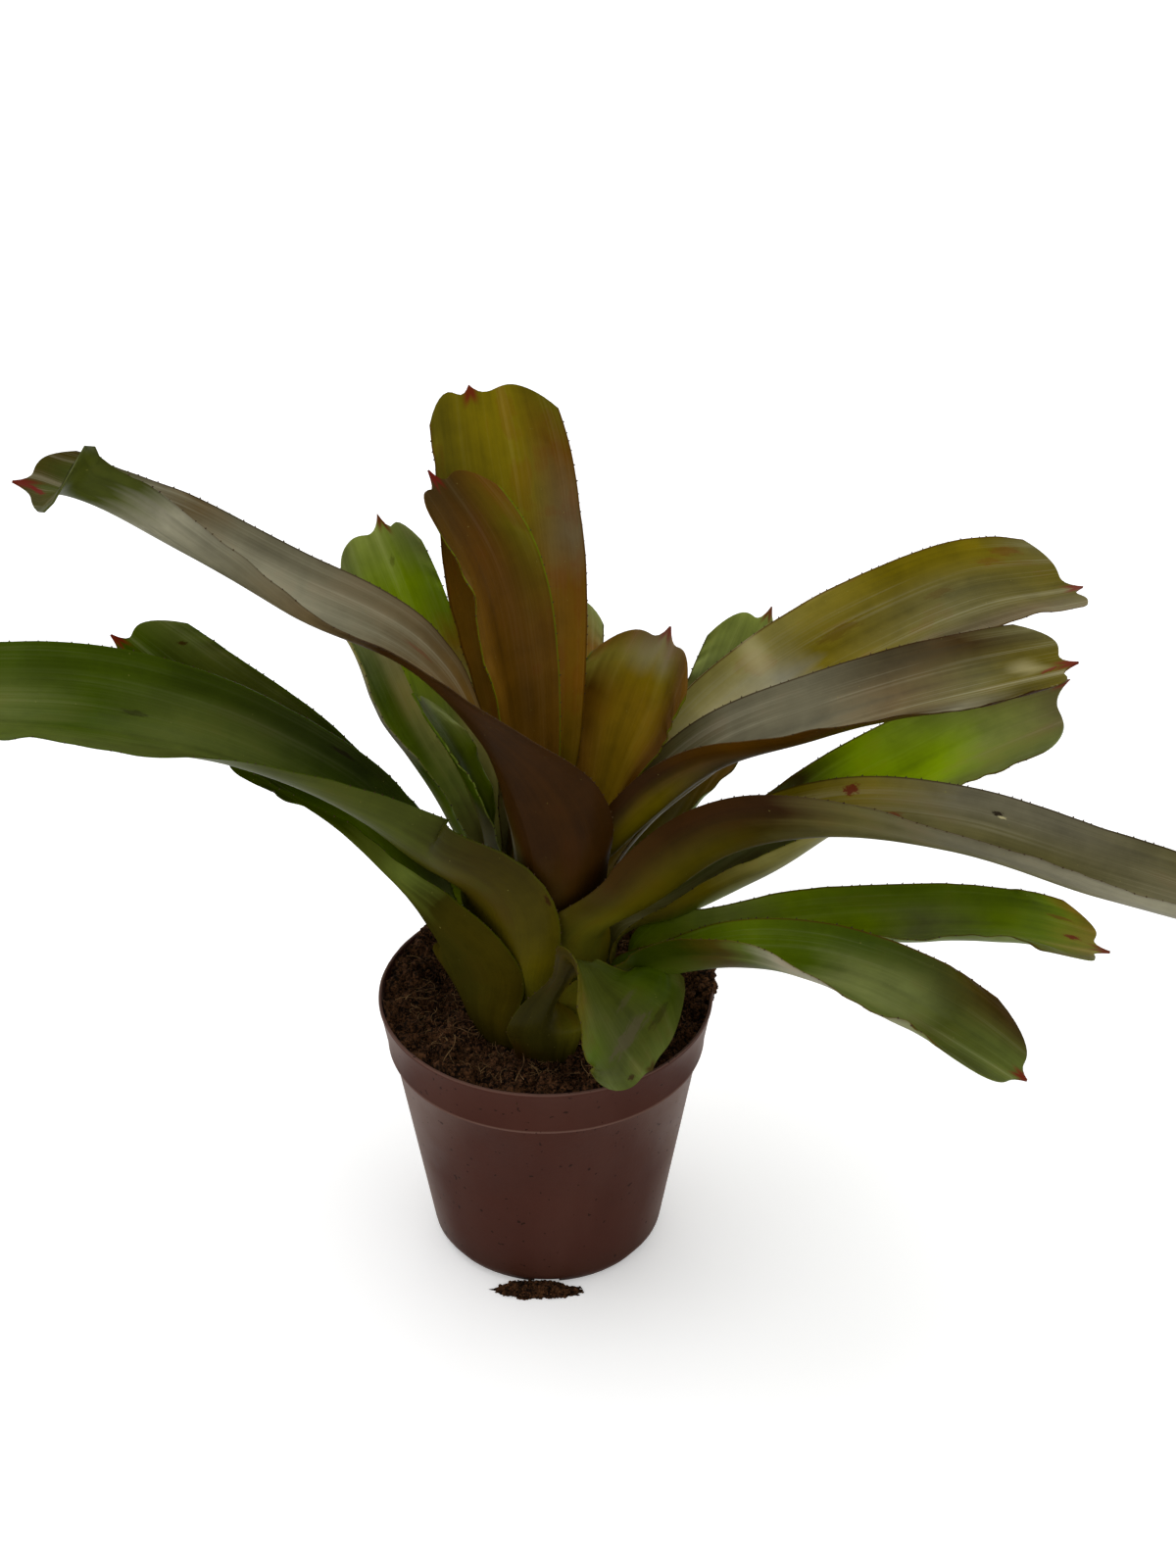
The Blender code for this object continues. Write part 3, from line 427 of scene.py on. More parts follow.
LOOKS = {
    "leaf_heart": Look(
        ("50 brown, 85 brown, 100 bronze",
         "46 bronze, 60 tan, 82 tan, 93 gold, 100 mauve",
         "50 brown, 62 rust, 80 bronze, 93 yellow_olive, 100 rust"),
        ("50 brown, 100 bronze",), rim="green", blush=0.15, sheen=0.04,
        # The soft silver mark near the tip is a painted highlight.
        marks=(Mark(0.1, 0.945, 0.034, 0.022, "silver", 0.35, "inner", 0.1),)),
    "leaf_heart_left": Look(
        ("40 umber, 52 rust, 70 bronze, 88 olive, 100 bronze",
         "45 rust, 60 bronze, 85 brown, 100 umber",
         "55 bronze, 63 rust, 75 rust, 100 umber"),
        ("50 brown, 100 bronze",), rim="leaf", blush=0.25, sheen=0.03),
    "leaf_back_tall": Look(
        ("40 tan, 55 orange, 68 rust, 76 mauve, 92 bronze, 100 olive",
         "45 orange, 70 orange, 82 gold, 100 gold",
         "20 straw_green, 40 straw_green, 51 orange, 62 orange, 74 rust, 86 olive, 100 olive"),
        ("50 olive_dark, 100 olive",), rim="brown", blush=0.35, sheen=0.04),
    "leaf_right_upper": Look(
        ("40 brown, 60 mauve, 70 umber, 77 umber, 85 mauve_grey, 93 olive_dark, 100 olive",
         "30 brown, 48 mauve_grey, 62 mauve_grey, 74 mauve, 87 khaki, 94 olive, 100 olive",
         "30 brown, 44 khaki, 52 mauve_grey, 63 mauve_grey, 72 mauve_dark, 88 umber, 100 khaki"),
        ("18 brown, 28 maroon, 42 maroon, 52 brown, 100 maroon",
         "25 olive, 40 gold, 50 mauve, 100 bronze",
         "30 brown, 60 olive_dark, 100 brown"), rim="maroon", blush=0.15, sheen=0.40,
        marks=(Mark(-0.05, 0.968, 0.004, 0.005, "red", 0.8),
               # The soft cream mark near the tip is a painted highlight.
               Mark(0.12, 0.945, 0.014, 0.018, "cream", 0.3, "inner", 0.1),
               Mark(0.55, 0.62, 0.016, 0.034, "mauve_grey", 0.6, "inner", 0.3))),
    "leaf_left_inner": Look(
        ("50 leaf, 75 fresh, 88 pale_green, 100 pale_green",
         "60 deep, 78 deep, 92 green, 100 grey_green",
         "60 green, 100 leaf"),
        ("50 khaki, 100 green",
         "45 silver, 60 yellow_olive, 80 green, 100 leaf",
         "50 silver, 62 khaki, 70 deep, 82 night, 100 deep"), rim="pale_green", tip="green"),
    "leaf_right_top": Look(
        ("30 tan, 45 straw_green, 60 yellow_olive, 75 mauve_dark, 90 mauve, 100 khaki",
         # In the middle run, cream and silver near the base are a painted highlight.
         "22 tan, 33 khaki, 40 cream, 47 cream, 53 silver, 60 gold, 80 khaki, 100 olive",
         "25 tan, 40 straw_green, 52 straw_green, 62 yellow_olive, 74 gold, 90 gold, 100 khaki"),
        ("20 rust, 32 yellow_olive, 50 bronze, 100 olive",), rim="brown", blush=0.3, sheen=0.30,
        marks=(Mark(0.75, 0.94, 0.005, 0.016, "red", 0.3), Mark(0.6, 0.90, 0.004, 0.012, "red", 0.25),
               Mark(0.3, 0.80, 0.004, 0.014, "brown", 0.35), Mark(0.4, 0.65, 0.005, 0.020, "brown", 0.4),
               # The soft cream mark is a painted highlight.
               Mark(0.75, 0.537, 0.030, 0.014, "cream", 0.5, "inner", 0.1))),
    "leaf_left_long": Look(
        # Its silver keys on both faces are painted sheen.
        ("35 bronze, 42 orange, 53 mauve, 68 mauve_grey, 76 mauve_grey, 82 mauve, 90 mauve_grey,"
         " 96 dull_green, 100 olive_dark",
         "30 brown, 42 bronze, 52 mauve, 60 mauve_grey, 72 silver, 78 silver, 84 mauve_grey, 90 mauve_grey,"
         " 96 dull_green, 100 olive_dark",
         "35 brown, 50 mauve, 70 mauve_grey, 90 mauve_grey, 100 dull_green"),
        ("23 khaki, 30 umber, 38 maroon, 100 umber",
         "12 olive, 20 umber, 28 maroon, 58 maroon, 66 mauve, 76 mauve_grey, 86 silver, 93 dull_green",
         "0 maroon, 22 maroon, 50 maroon, 58 maroon, 66 mauve, 76 mauve_grey, 86 silver, 93 dull_green"),
        rim="maroon", blush=0.12, sheen=0.30,
        marks=(Mark(0.1, 0.985, 0.004, 0.004), Mark(-0.4, 0.537, 0.002, 0.012, "red", 0.3),
               # The soft silver band along the sheath's margin on the outer face is a painted highlight.
               Mark(-0.9, 0.24, 0.008, 0.12, "silver", 0.5, "outer", 0.1))),
    "leaf_left_back": Look(
        ("30 straw_green, 42 pale_green, 60 straw_green, 100 silver",
         "30 straw_green, 40 pale_green, 50 leaf, 62 green, 74 sage, 100 sage",
         "50 leaf, 100 khaki"),
        ("50 sage, 100 khaki",
         "50 pale_green, 100 sage",
         "30 pale_green, 40 fresh, 48 green, 55 silver, 64 silver, 72 straw_green, 100 khaki"),
        rim="straw_green"),
    "leaf_right_long": Look(
        ("40 olive_dark, 60 mauve_dark, 100 khaki",
         "35 olive_dark, 48 olive, 60 khaki, 75 khaki, 100 mauve_grey",
         "35 gold, 45 gold, 54 yellow_olive, 64 mauve_grey, 76 mauve_grey, 100 khaki"),
        ("0 sheath_pale, 12 sheath, 22 umber, 34 maroon, 46 maroon, 55 khaki, 65 mauve_grey, 100 silver",
         "0 sheath_pale, 14 sheath_pale, 24 olive, 42 olive_dark, 54 khaki, 100 mauve_grey",
         "0 sheath_pale, 15 gold, 40 olive, 100 khaki"), rim="maroon", blush=0.15, sheen=0.28,
        marks=(Mark(0.8, 0.519, 0.005, 0.006), Mark(0.4, 0.569, 0.003, 0.008, "red", 0.6),
               Mark(0.7, 0.688, 0.002, 0.004, "scar", 0.9), Mark(0.66, 0.694, 0.001, 0.003, "cream", 0.8))),
    "leaf_back_left": Look(
        ("50 straw_green, 62 straw_green, 71 tan, 79 leaf, 88 leaf, 100 sage",
         "50 sage, 72 fresh, 86 fresh, 100 pale_green",
         "70 leaf, 100 sage"),
        ("50 green, 100 grey_green",), rim="leaf",
        marks=(Mark(-0.3, 0.919, 0.003, 0.004, "umber", 0.4),)),
    "leaf_right_middle": Look(
        ("60 bright, 78 pale_green, 100 sage",
         "40 khaki, 48 sage, 62 bright, 75 bright, 85 pale_green, 100 khaki",
         "45 sage, 54 olive_dark, 64 bright, 80 pale_green, 88 umber, 100 umber"),
        ("15 yellow_olive, 32 gold, 45 straw_green, 62 straw_green, 100 sage",
         "22 fresh, 40 sage, 100 leaf",
         "50 green, 100 leaf"), rim="bronze"),
    "leaf_left_broad": Look(
        ("30 green, 40 night, 55 night, 70 deep, 100 deep",
         # The grey_green keys of the middle run are partly painted sheen.
         "35 deep, 44 deep, 54 grey_green, 63 grey_green, 74 deep, 85 grey_green, 100 green",
         "40 green, 52 grey_green, 62 dull_green, 75 grey_green, 100 green"),
        ("0 sheath_pale, 40 dull_green, 100 green",
         "0 sheath_pale, 13 olive, 23 olive_dark, 36 dull_green, 46 dull_green, 100 green",
         "0 sheath_pale, 15 olive, 24 sheath_dark, 36 dull_green, 44 dull_green, 54 dull_green, 100 green"),
        rim="deep", sheen=0.06,
        marks=(Mark(-0.82, 0.444, 0.0025, 0.010, "scar", 0.7), Mark(-0.2, 0.688, 0.003, 0.010, "scar", 0.5),
               Mark(0.95, 0.213, 0.0016, 0.002, "maroon", 0.9, "outer"))),
    "leaf_back_hidden": Look(("60 leaf, 85 rust, 100 sage",), ("50 green, 100 grey_green",)),
    "leaf_back_right": Look(
        ("50 olive_dark, 70 bronze, 80 sage, 100 pale_green",), ("50 green, 100 leaf",)),
    "leaf_back_left_low": Look(
        # Its shadow_green keys are painted shade, where the leaves above shade it.
        ("40 green, 60 shadow_green, 100 shadow_green",), ("50 green, 100 shadow_green",), sheen=0.0,
        rim="shadow_green", tip="shadow_green", shine=0.0),
    "leaf_back_low": Look(("50 green, 100 leaf",), ("50 green, 100 grey_green",)),
    "leaf_right_front": Look(
        ("40 leaf, 60 grey_green, 72 grey_green, 86 dull_green, 100 dull_green",
         "30 leaf, 45 leaf, 55 green, 63 sage, 74 sage, 84 dull_green, 100 grey_green",
         "20 deep, 33 leaf, 44 leaf, 54 green, 64 deep, 76 dull_green, 88 olive_dark, 100 umber"),
        # On the outer face, silver from 57 to 68 percent is a painted highlight.
        ("0 sheath_pale, 12 sheath, 23 night, 35 night, 45 olive_dark, 50 grey_green, 57 silver, 68 silver,"
         " 100 sage",
         "0 sheath_pale, 14 sheath, 25 deep, 36 dull_green, 44 olive_dark, 50 dull_green, 56 grey_green,"
         " 66 sage, 100 grey_green",
         "50 green, 100 grey_green"), rim="brown"),
    "leaf_left_low": Look(
        # Its darkest keys, night and shadow_green, are painted shade under leaf_left_broad.
        ("20 pale_green, 28 sage, 36 dull_green, 50 night, 60 night, 68 dull_green, 85 dull_green,"
         " 100 grey_green",
         "34 leaf, 46 leaf, 54 deep, 62 night, 90 night, 100 deep",
         "50 deep, 60 shadow_green, 70 night, 100 deep"),
        ("0 sheath_dark, 12 sheath_dark, 25 olive_dark, 60 night, 100 green",
         "0 sheath_dark, 14 olive_night, 24 olive_night, 34 dull_green, 45 dull_green, 100 night",
         "0 sheath_dark, 15 olive_dark, 25 olive_night, 34 grey_green, 40 dull_green, 47 shadow_green,"
         " 100 shadow_green"),
        rim="deep", shine=0.0, marks=(Mark(-0.7, 0.925, 0.003, 0.003, "maroon"),)),
    "leaf_right_lower": Look(
        ("45 fresh, 70 grey_green, 88 leaf, 100 khaki",
         "40 fresh, 54 fresh, 64 sage, 78 leaf, 88 leaf, 100 yellow_olive",
         "15 fresh, 30 pale_green, 42 fresh, 52 leaf, 82 green, 93 leaf, 100 tan"),
        ("50 green, 100 sage",), rim="brown",
        marks=(Mark(0.2, 0.956, 0.003, 0.007), Mark(0.6, 0.93, 0.002, 0.012, "red", 0.5))),
    "leaf_front_short": Look(
        ("50 dull_green, 65 olive, 76 green, 88 dull_green, 100 grey_green",
         "50 dull_green, 66 dull_green, 78 dull_green, 90 dull_green, 100 grey_green",
         "55 dull_green, 68 deep, 86 deep, 100 dull_green"),
        ("0 maroon, 14 sheath_dark, 26 olive_night, 44 sheath_dark, 60 olive_dark, 100 olive_dark",
         "0 sheath_dark, 14 olive_night, 34 olive_night, 50 sheath_dark, 100 olive_dark",
         "0 sheath_dark, 15 sheath, 26 olive, 50 olive_dark, 100 dull_green"),
        rim="sheath", blush=0.3, tip="umber", sheen=0.04,
        marks=(Mark(-0.4, 0.965, 0.004, 0.003, "maroon"), Mark(-0.05, 0.844, 0.024, 0.007, "mauve_dark", 0.7),
               Mark(0.45, 0.90, 0.010, 0.004, "scar", 0.4),
               Mark(0.3, 0.75, 0.012, 0.003, "mauve_dark", 0.4))),
}


# ---------------------------------------------------------------- other sizes and tones
BLUSH = (0.75, 0.34, 0.28)  # what a red-brown blotch leaves of the colour under it
SPINE_LINES = (0.0, 0.012, 0.035)  # lengthwise lines beside the end spine, in half widths
TEETH_START = 0.16  # shares of a margin between which its teeth stand
TEETH_END = 0.985
MARGIN_BAND = (0.965, 0.99)  # half widths between which the margin's colour comes in
TIP_BAND = (0.972, 0.99)  # shares of the length between which the tip's colour comes in
TIP_FADE = (0.16, 0.04)  # and its half widths from the spine
TURN_SEED = 11

PEAT_FIRST_RING = 0.004
PEAT_SIDE = ((0.0548, 0.0842), (0.0535, 0.0800), (0.0406, 0.0060), (0.0370, 0.0021))  # (radius, height)
LUMP_SCALE, CLOD_SCALE, GRIT_SCALE = 90.0, 170.0, 520.0  # of the three patterns in the peat's top
CLIMB_START, CLIMB_END = 0.040, 0.0575  # radii between which the peat climbs to the wall
RIM_CLUMP = ((0.0578, 0.006, 0.1025), (0.0032, 0.0090, 0.0030), 2.0)  # centre, half sizes, seed
CRUMB_FINISH = (1.3, 600.0)  # brightness against the peat's light tone, scale of the pattern
CRUMBS = (("small", 0.84, 545000.0, 5), ("large", 2.1, 48000.0, 9))  # size, number to a square metre, seed
STRANDS = (  # length, radius, bend, number to a square metre, seed
    ("long", 0.019, 0.00017, (0.1, 0.30, 0.10), 9000.0, 21),
    ("short", 0.006, 0.00010, (0.05, 0.45, 0.10), 60000.0, 22),
    ("curled", 0.007, 0.00012, (0.4, 0.9, 0.20), 24000.0, 23),
)

BASE_UNDERSIDE, BASE_TOP = 0.0006, 0.0016  # heights of the pot's base
FOOT_INSIDE, FOOT_OUTSIDE = 0.0052, 0.0045  # heights that the wall rises from
LIP_ROUND = ((1.05, 0.0006), (0.9, 0.0001), (0.55, 0.0), (0.2, 0.0001), (0.0, 0.0006))  # (walls in, drop)
LIP_SIDE = ((-0.00005, -0.0012), (-0.00045, -0.0022))  # this and the next four: steps out and up
BAND_EDGE = ((0.00012, 0.0016), (0.00030, 0.0008), (0.00022, 0.0002), (-0.0002, -0.00015))
NECK_EDGE = ((0.0004, -0.0002), (0.0, -0.0006))
FOOT_ROUND = ((0.0001, 0.0062), (-0.0003, 0.0043))
BASE_ROUND = ((0.0006, 0.0005), (0.0, 0.0), (-0.002, 0.0), (-0.0025, BASE_UNDERSIDE))
PLASTIC_TONES = {
    "flow line": shade(84, 56, 47),
    # painted sheen where the wall turns edge-on to the view
    "edge-on sheen": shade(126, 106, 97),
    # painted highlight along the band's step and the rim's top
    "edge highlight": shade(132, 104, 92),
    # darker towards the bottom
    "darker bottom": shade(60, 40, 28),
    "speck": shade(34, 20, 14),
}
SLOT_SIZE = (0.010, 0.009, 0.0056)

FLOOR_REACH = 6.0
LAMP_TURN = (-18.0, -8.0, 0.0)
CAMERA_PLACE = (0.0151, -0.9030, 0.7782)
CAMERA_TURN = (57.0, 0.0, 0.0)


# ---------------------------------------------------------------- node helpers
ORIGIN = (0.0, 0.0, 0.0)
WHITE = (1.0, 1.0, 1.0)
SOCKET_KINDS = {
    float: "NodeSocketFloat",
    int: "NodeSocketInt",
    tuple: "NodeSocketVector",
    type(None): "NodeSocketMaterial",
}


class Graph:
    """Adds nodes to a tree and links them."""

    def __init__(self, tree):
        self.tree = tree

    def node(self, kind, **values):
        made = self.tree.nodes.new(kind)
        for name, value in values.items():
            setattr(made, name, value)
        return made

    def put(self, socket, value):
        """Links the value if it is a socket, and else sets it."""
        if isinstance(value, bpy.types.NodeSocket):
            self.tree.links.new(value, socket)
        else:
            socket.default_value = value

    def fill(self, node, **values):
        """Puts each value into the node's input of that name, and returns the node's outputs."""
        for name, value in values.items():
            self.put(node.inputs[name.replace("_", " ")], value)
        return node.outputs

    def filled(self, kind, **values):
        """The outputs of a new node whose inputs have the values."""
        return self.fill(self.node(kind), **values)

    def math(self, operation, *parts, clamp=False):
        made = self.node("ShaderNodeMath", operation=operation, use_clamp=clamp)
        for socket, part in zip(made.inputs, parts):
            self.put(socket, part)
        return made.outputs[0]

    def times(self, first, second):
        return self.math("MULTIPLY", first, second)

    def plus(self, first, second):
        return self.math("ADD", first, second)

    def minus(self, first, second):
        return self.math("SUBTRACT", first, second)

    def span(self, value, low, high, start=0.0, end=1.0):
        """The value's smooth rise from start at low to end at high."""
        made = self.node("ShaderNodeMapRange", interpolation_type="SMOOTHSTEP")
        for socket, part in zip(made.inputs, (value, low, high, start, end)):
            self.put(socket, part)
        return made.outputs["Result"]

    def mix(self, share, first, second, blend="MIX"):
        """A colour between first and second."""
        made = self.node("ShaderNodeMix", data_type="RGBA", blend_type=blend, clamp_factor=True)
        self.put(made.inputs["Factor"], share)
        for socket, part in ((made.inputs[6], first), (made.inputs[7], second)):
            self.put(socket, part if isinstance(part, bpy.types.NodeSocket) else (*part, 1.0))
        return made.outputs[2]

    def blend(self, share, first, second):
        """A number between first and second."""
        made = self.node("ShaderNodeMix", data_type="FLOAT", clamp_factor=True)
        return self.fill(made, Factor=share, A=first, B=second)[0]

    def noise(self, vector, scale, detail=2.0, rough=0.5):
        made = self.filled("ShaderNodeTexNoise", Vector=vector, Scale=scale, Detail=detail, Roughness=rough)
        return made["Fac"]

    def ramp(self, value, run):
        """A colour along a run of "percent, palette name"."""
        keys = [key.split() for key in run.split(",")]
        if keys[0][0] != "0":
            keys.insert(0, ("0", "sheath"))
        made = self.node("ShaderNodeValToRGB")
        elements = made.color_ramp.elements
        while len(elements) < len(keys):
            elements.new(0.5)
        for element, (percent, name) in zip(elements, keys):
            element.position = int(percent) / 100.0
            element.color = (*PALETTE[name], 1.0)
        return self.fill(made, Fac=value)["Color"]

    def vector(self, x, y, z=0.0):
        return self.filled("ShaderNodeCombineXYZ", X=x, Y=y, Z=z)[0]

    def split(self, vector):
        return tuple(self.filled("ShaderNodeSeparateXYZ", Vector=vector))

    def attribute(self, name):
        return self.node("ShaderNodeAttribute", attribute_name=name).outputs["Fac"]

    def object_place(self):
        return self.node("ShaderNodeTexCoord").outputs["Object"]

    def group(self, tree, **values):
        return self.fill(self.node("ShaderNodeGroup", node_tree=tree), **values)


def name_inputs(tree, inputs):
    """Gives the tree an input for each name, with its default value."""
    for name, value in inputs.items():
        socket = tree.interface.new_socket(
            name=name.replace("_", " "), in_out="INPUT", socket_type=SOCKET_KINDS[type(value)])
        if value is not None:
            socket.default_value = value


def shader_group(name, outputs, **inputs):
    """(graph, inputs, output node) of a shader node group that has the named sockets."""
    tree = bpy.data.node_groups.new(name, "ShaderNodeTree")
    name_inputs(tree, inputs)
    for label in outputs:
        tree.interface.new_socket(name=label, in_out="OUTPUT", socket_type="NodeSocketFloat")
    graph = Graph(tree)
    return graph, graph.node("NodeGroupInput").outputs, graph.node("NodeGroupOutput")


@cache
def blade_grain_group():
    """Fine parallel veins and broader streaks that run along a blade."""
    graph, given, made = shader_group("blade_grain", ("Vein", "Streak"), Blade=ORIGIN, Veins=60.0, Length=3.0)
    across, along, _ = graph.split(given["Blade"])
    place = graph.plus(across, graph.times(graph.noise(graph.vector(across, along), 3.0), 0.02))
    fine = graph.vector(graph.times(place, given["Veins"]), graph.times(along, given["Length"]))
    broad = graph.vector(graph.times(place, 9.0), graph.times(along, 1.6), 3.7)
    graph.fill(made, Vein=graph.noise(fine, 1.0, 1.0), Streak=graph.noise(broad, 1.0, 3.0, 0.6))
    return graph.tree


@cache
def mark_group():
    """An oval patch at one place of a blade. Ragged is 0 for a soft edge and 1 for a torn one."""
    graph, given, made = shader_group(
        "blade_mark", ("Mask",), Blade=ORIGIN, Across=0.0, Along=0.5, Wide=0.1, Long=0.02, Ragged=1.0)
    across, along, _ = graph.split(given["Blade"])
    side = graph.math("DIVIDE", graph.minus(across, given["Across"]), given["Wide"])
    rise = graph.math("DIVIDE", graph.minus(along, given["Along"]), given["Long"])
    reach = graph.math("SQRT", graph.plus(graph.times(side, side), graph.times(rise, rise)))
    tear = graph.minus(graph.noise(graph.vector(side, rise), 1.7, 3.0, 0.7), 0.5)
    worn = graph.plus(reach, graph.times(tear, graph.times(given["Ragged"], 2.4)))
    graph.fill(made, Mask=graph.span(worn, graph.times(given["Ragged"], 0.55), 1.0, 1.0, 0.0))
    return graph.tree


@cache
def mottle_group():
    """Soft cloudy variation and scattered small flecks over a surface."""
    graph, given, made = shader_group(
        "mottle", ("Cloud", "Fleck"), Place=ORIGIN, Cloud_Size=60.0, Fleck_Size=600.0, Fleck_Share=0.3)
    cloud = graph.noise(given["Place"], given["Cloud Size"], 4.0, 0.6)
    fleck = graph.noise(given["Place"], given["Fleck Size"], 1.0)
    low = graph.minus(0.86, graph.times(given["Fleck Share"], 0.3))
    graph.fill(made, Cloud=graph.span(cloud, 0.28, 0.72), Fleck=graph.span(fleck, low, graph.plus(low, 0.03)))
    return graph.tree


# ---------------------------------------------------------------- materials
def new_material(name, roughness, specular=0.3):
    """(material, Principled shader, graph) of a new material."""
    made = bpy.data.materials.new(name)
    made.use_nodes = True
    shader = made.node_tree.nodes["Principled BSDF"]
    shader.inputs["Roughness"].default_value = roughness
    shader.inputs["Specular IOR Level"].default_value = specular
    return made, shader, Graph(made.node_tree)


def dress(graph, shader, colour, roughness=None, height=None, depth=0.0):
    """Gives the shader its colour and, where there are any, its roughness and relief."""
    graph.put(shader.inputs["Base Color"], colour)
    if roughness is not None:
        graph.put(shader.inputs["Roughness"], roughness)
    if height is not None:
        relief = graph.filled("ShaderNodeBump", Strength=1.0, Distance=depth, Height=height)
        graph.put(shader.inputs["Normal"], relief["Normal"])


def face_colour(graph, side, along, runs):
    """One face's colour, blended from its runs along the right margin, the middle and the left margin."""
    right, middle, left = (graph.ramp(along, run) for run in (runs * 3)[:3])
    face = graph.mix(graph.span(side, 0.2, 0.85), middle, left)
    return graph.mix(graph.span(side, -0.2, -0.85), face, right)


def skin_colour(graph, colour, grain, mottle, inward, look, veins):
    """The colour with red-brown blotches, pale streaks of waxy bloom and painted sheen, veins, cloudy tones
    and pale flecks.
    """
    blotch = graph.times(graph.span(graph.times(mottle["Cloud"], grain["Streak"]), 0.32, 0.5), look.blush)
    colour = graph.mix(blotch, colour, graph.mix(1.0, colour, BLUSH, "MULTIPLY"))
    # Pale streaks towards silver on the inner face: partly waxy bloom, partly painted sheen.
    bloom_and_sheen = graph.plus(graph.times(grain["Streak"], 0.65), graph.times(grain["Vein"], 0.35))
    bloom_and_sheen = graph.times(graph.times(graph.span(bloom_and_sheen, 0.48, 0.68), inward), look.sheen)
    colour = graph.mix(bloom_and_sheen, colour, PALETTE["silver"])
    tone = graph.plus(graph.times(grain["Vein"], veins), graph.times(mottle["Cloud"], 0.32))
    tone = graph.plus(graph.plus(tone, graph.times(grain["Streak"], 0.9)), 0.40 - 0.5 * veins)
    colour = graph.mix(1.0, colour, graph.vector(tone, tone, tone), "MULTIPLY")
    return graph.mix(graph.times(mottle["Fleck"], 0.35), colour, PALETTE["straw_green"])


def edge_colour(graph, colour, side, along, inward, leaf, look):
    """The colour with the thin margin's and the tip's."""
    rim = graph.times(graph.span(graph.math("ABSOLUTE", side), *MARGIN_BAND), graph.blend(inward, 0.2, 0.7))
    colour = graph.mix(rim, colour, PALETTE[look.rim])
    offset = graph.math("ABSOLUTE", graph.minus(side, leaf.skew))
    tip = graph.times(graph.span(offset, *TIP_FADE), graph.span(along, *TIP_BAND))
    return graph.mix(graph.times(tip, 0.85), colour, PALETTE[look.tip])


def marked_colour(graph, colour, side, along, inward, mark, leaf, length):
    """The colour with one mark laid over it."""
    mask = graph.group(
        mark_group(), Blade=graph.vector(side, along), Across=mark.across, Along=mark.along,
        Wide=mark.width / (2.0 * leaf.half_width), Long=mark.length / (2.0 * length), Ragged=mark.ragged)
    face = inward if mark.face == "inner" else graph.minus(1.0, inward)
    share = graph.times(graph.times(mask["Mask"], face), mark.strength)
    return graph.mix(share, colour, PALETTE[mark.colour])


def leaf_material(leaf, look, length, settings):
    """A blade's finish: its own colours, skin, margin, tip and marks, with shallow veins."""
    made, shader, graph = new_material(leaf.name, settings.roughness, settings.gloss * look.shine)
    blade = graph.node("ShaderNodeUVMap", uv_map="blade").outputs["UV"]
    across, along, _ = graph.split(blade)
    side = graph.math("MULTIPLY_ADD", across, 2.0, -1.0)
    inward = graph.attribute("inner")
    grain = graph.group(blade_grain_group(), Blade=blade, Veins=70.0, Length=12.0 * length)
    mottle = graph.group(
        mottle_group(), Place=graph.object_place(), Cloud_Size=55.0, Fleck_Size=750.0, Fleck_Share=0.25)

    wander = graph.times(graph.minus(grain["Streak"], 0.5), 0.10)
    shifted = graph.math("ADD", along, wander, clamp=True)
    faces = [face_colour(graph, side, shifted, runs) for runs in (look.outer, look.inner)]
    colour = skin_colour(graph, graph.mix(inward, *faces), grain, mottle, inward, look, settings.veins)
    colour = edge_colour(graph, colour, side, along, inward, leaf, look)
    for mark in look.marks:
        colour = marked_colour(graph, colour, side, along, inward, mark, leaf, length)
    roughness = graph.blend(grain["Streak"], settings.roughness - 0.08, settings.roughness + 0.10)
    relief = graph.plus(graph.times(grain["Vein"], 0.5), grain["Streak"])
    dress(graph, shader, colour, roughness, relief, settings.vein_depth)
    return made


def plastic_material(settings):
    """Dull brown-red moulded plastic with faint flow lines, stuck specks of peat, painted sheen and
    highlights, and a darker bottom.
    """
    made, shader, graph = new_material("terracotta_plastic", 0.42, 0.03)
    place = graph.object_place()
    mottle = graph.group(mottle_group(), Place=place, Cloud_Size=38.0, Fleck_Size=420.0, Fleck_Share=0.5)
    x, y, z = graph.split(place)
    drawn = graph.vector(graph.times(x, 40.0), graph.times(y, 40.0), graph.times(z, 9.0))
    flow = graph.noise(drawn, 1.0, 3.0)
    edge_on = graph.node("ShaderNodeLayerWeight").outputs["Facing"]
    top = POT_BOX[1].z
    step = top - settings.band_height
    # A painted highlight along the band's lower step.
    step_highlight = graph.times(graph.span(z, step - 0.0006, step), graph.span(z, step + 0.0013, step + 0.0007))

    colour = tuple(settings.colour)
    colour = graph.mix(mottle["Cloud"], colour, tuple(1.12 * part for part in colour))
    for mask, strength, name in (
        (graph.span(flow, 0.4, 0.7), 0.25, "flow line"),
        # Painted sheen where the wall turns edge-on to the view.
        (graph.span(edge_on, 0.6, 1.0), 0.8, "edge-on sheen"),
        # Painted highlights along the band's lower step and along the rim's top.
        (step_highlight, 0.4, "edge highlight"),
        (graph.span(z, top - 0.0009, top - 0.0003), 0.35, "edge highlight"),
        # Darker towards the bottom.
        (graph.span(z, 0.02, 0.0), 0.35, "darker bottom"),
        (mottle["Fleck"], 0.75, "speck"),
    ):
        colour = graph.mix(graph.times(mask, strength), colour, PLASTIC_TONES[name])
    roughness = graph.blend(mottle["Cloud"], 0.36, 0.50)
    dress(graph, shader, colour, roughness, graph.noise(place, 900.0, 2.0), 0.00003)
    return made


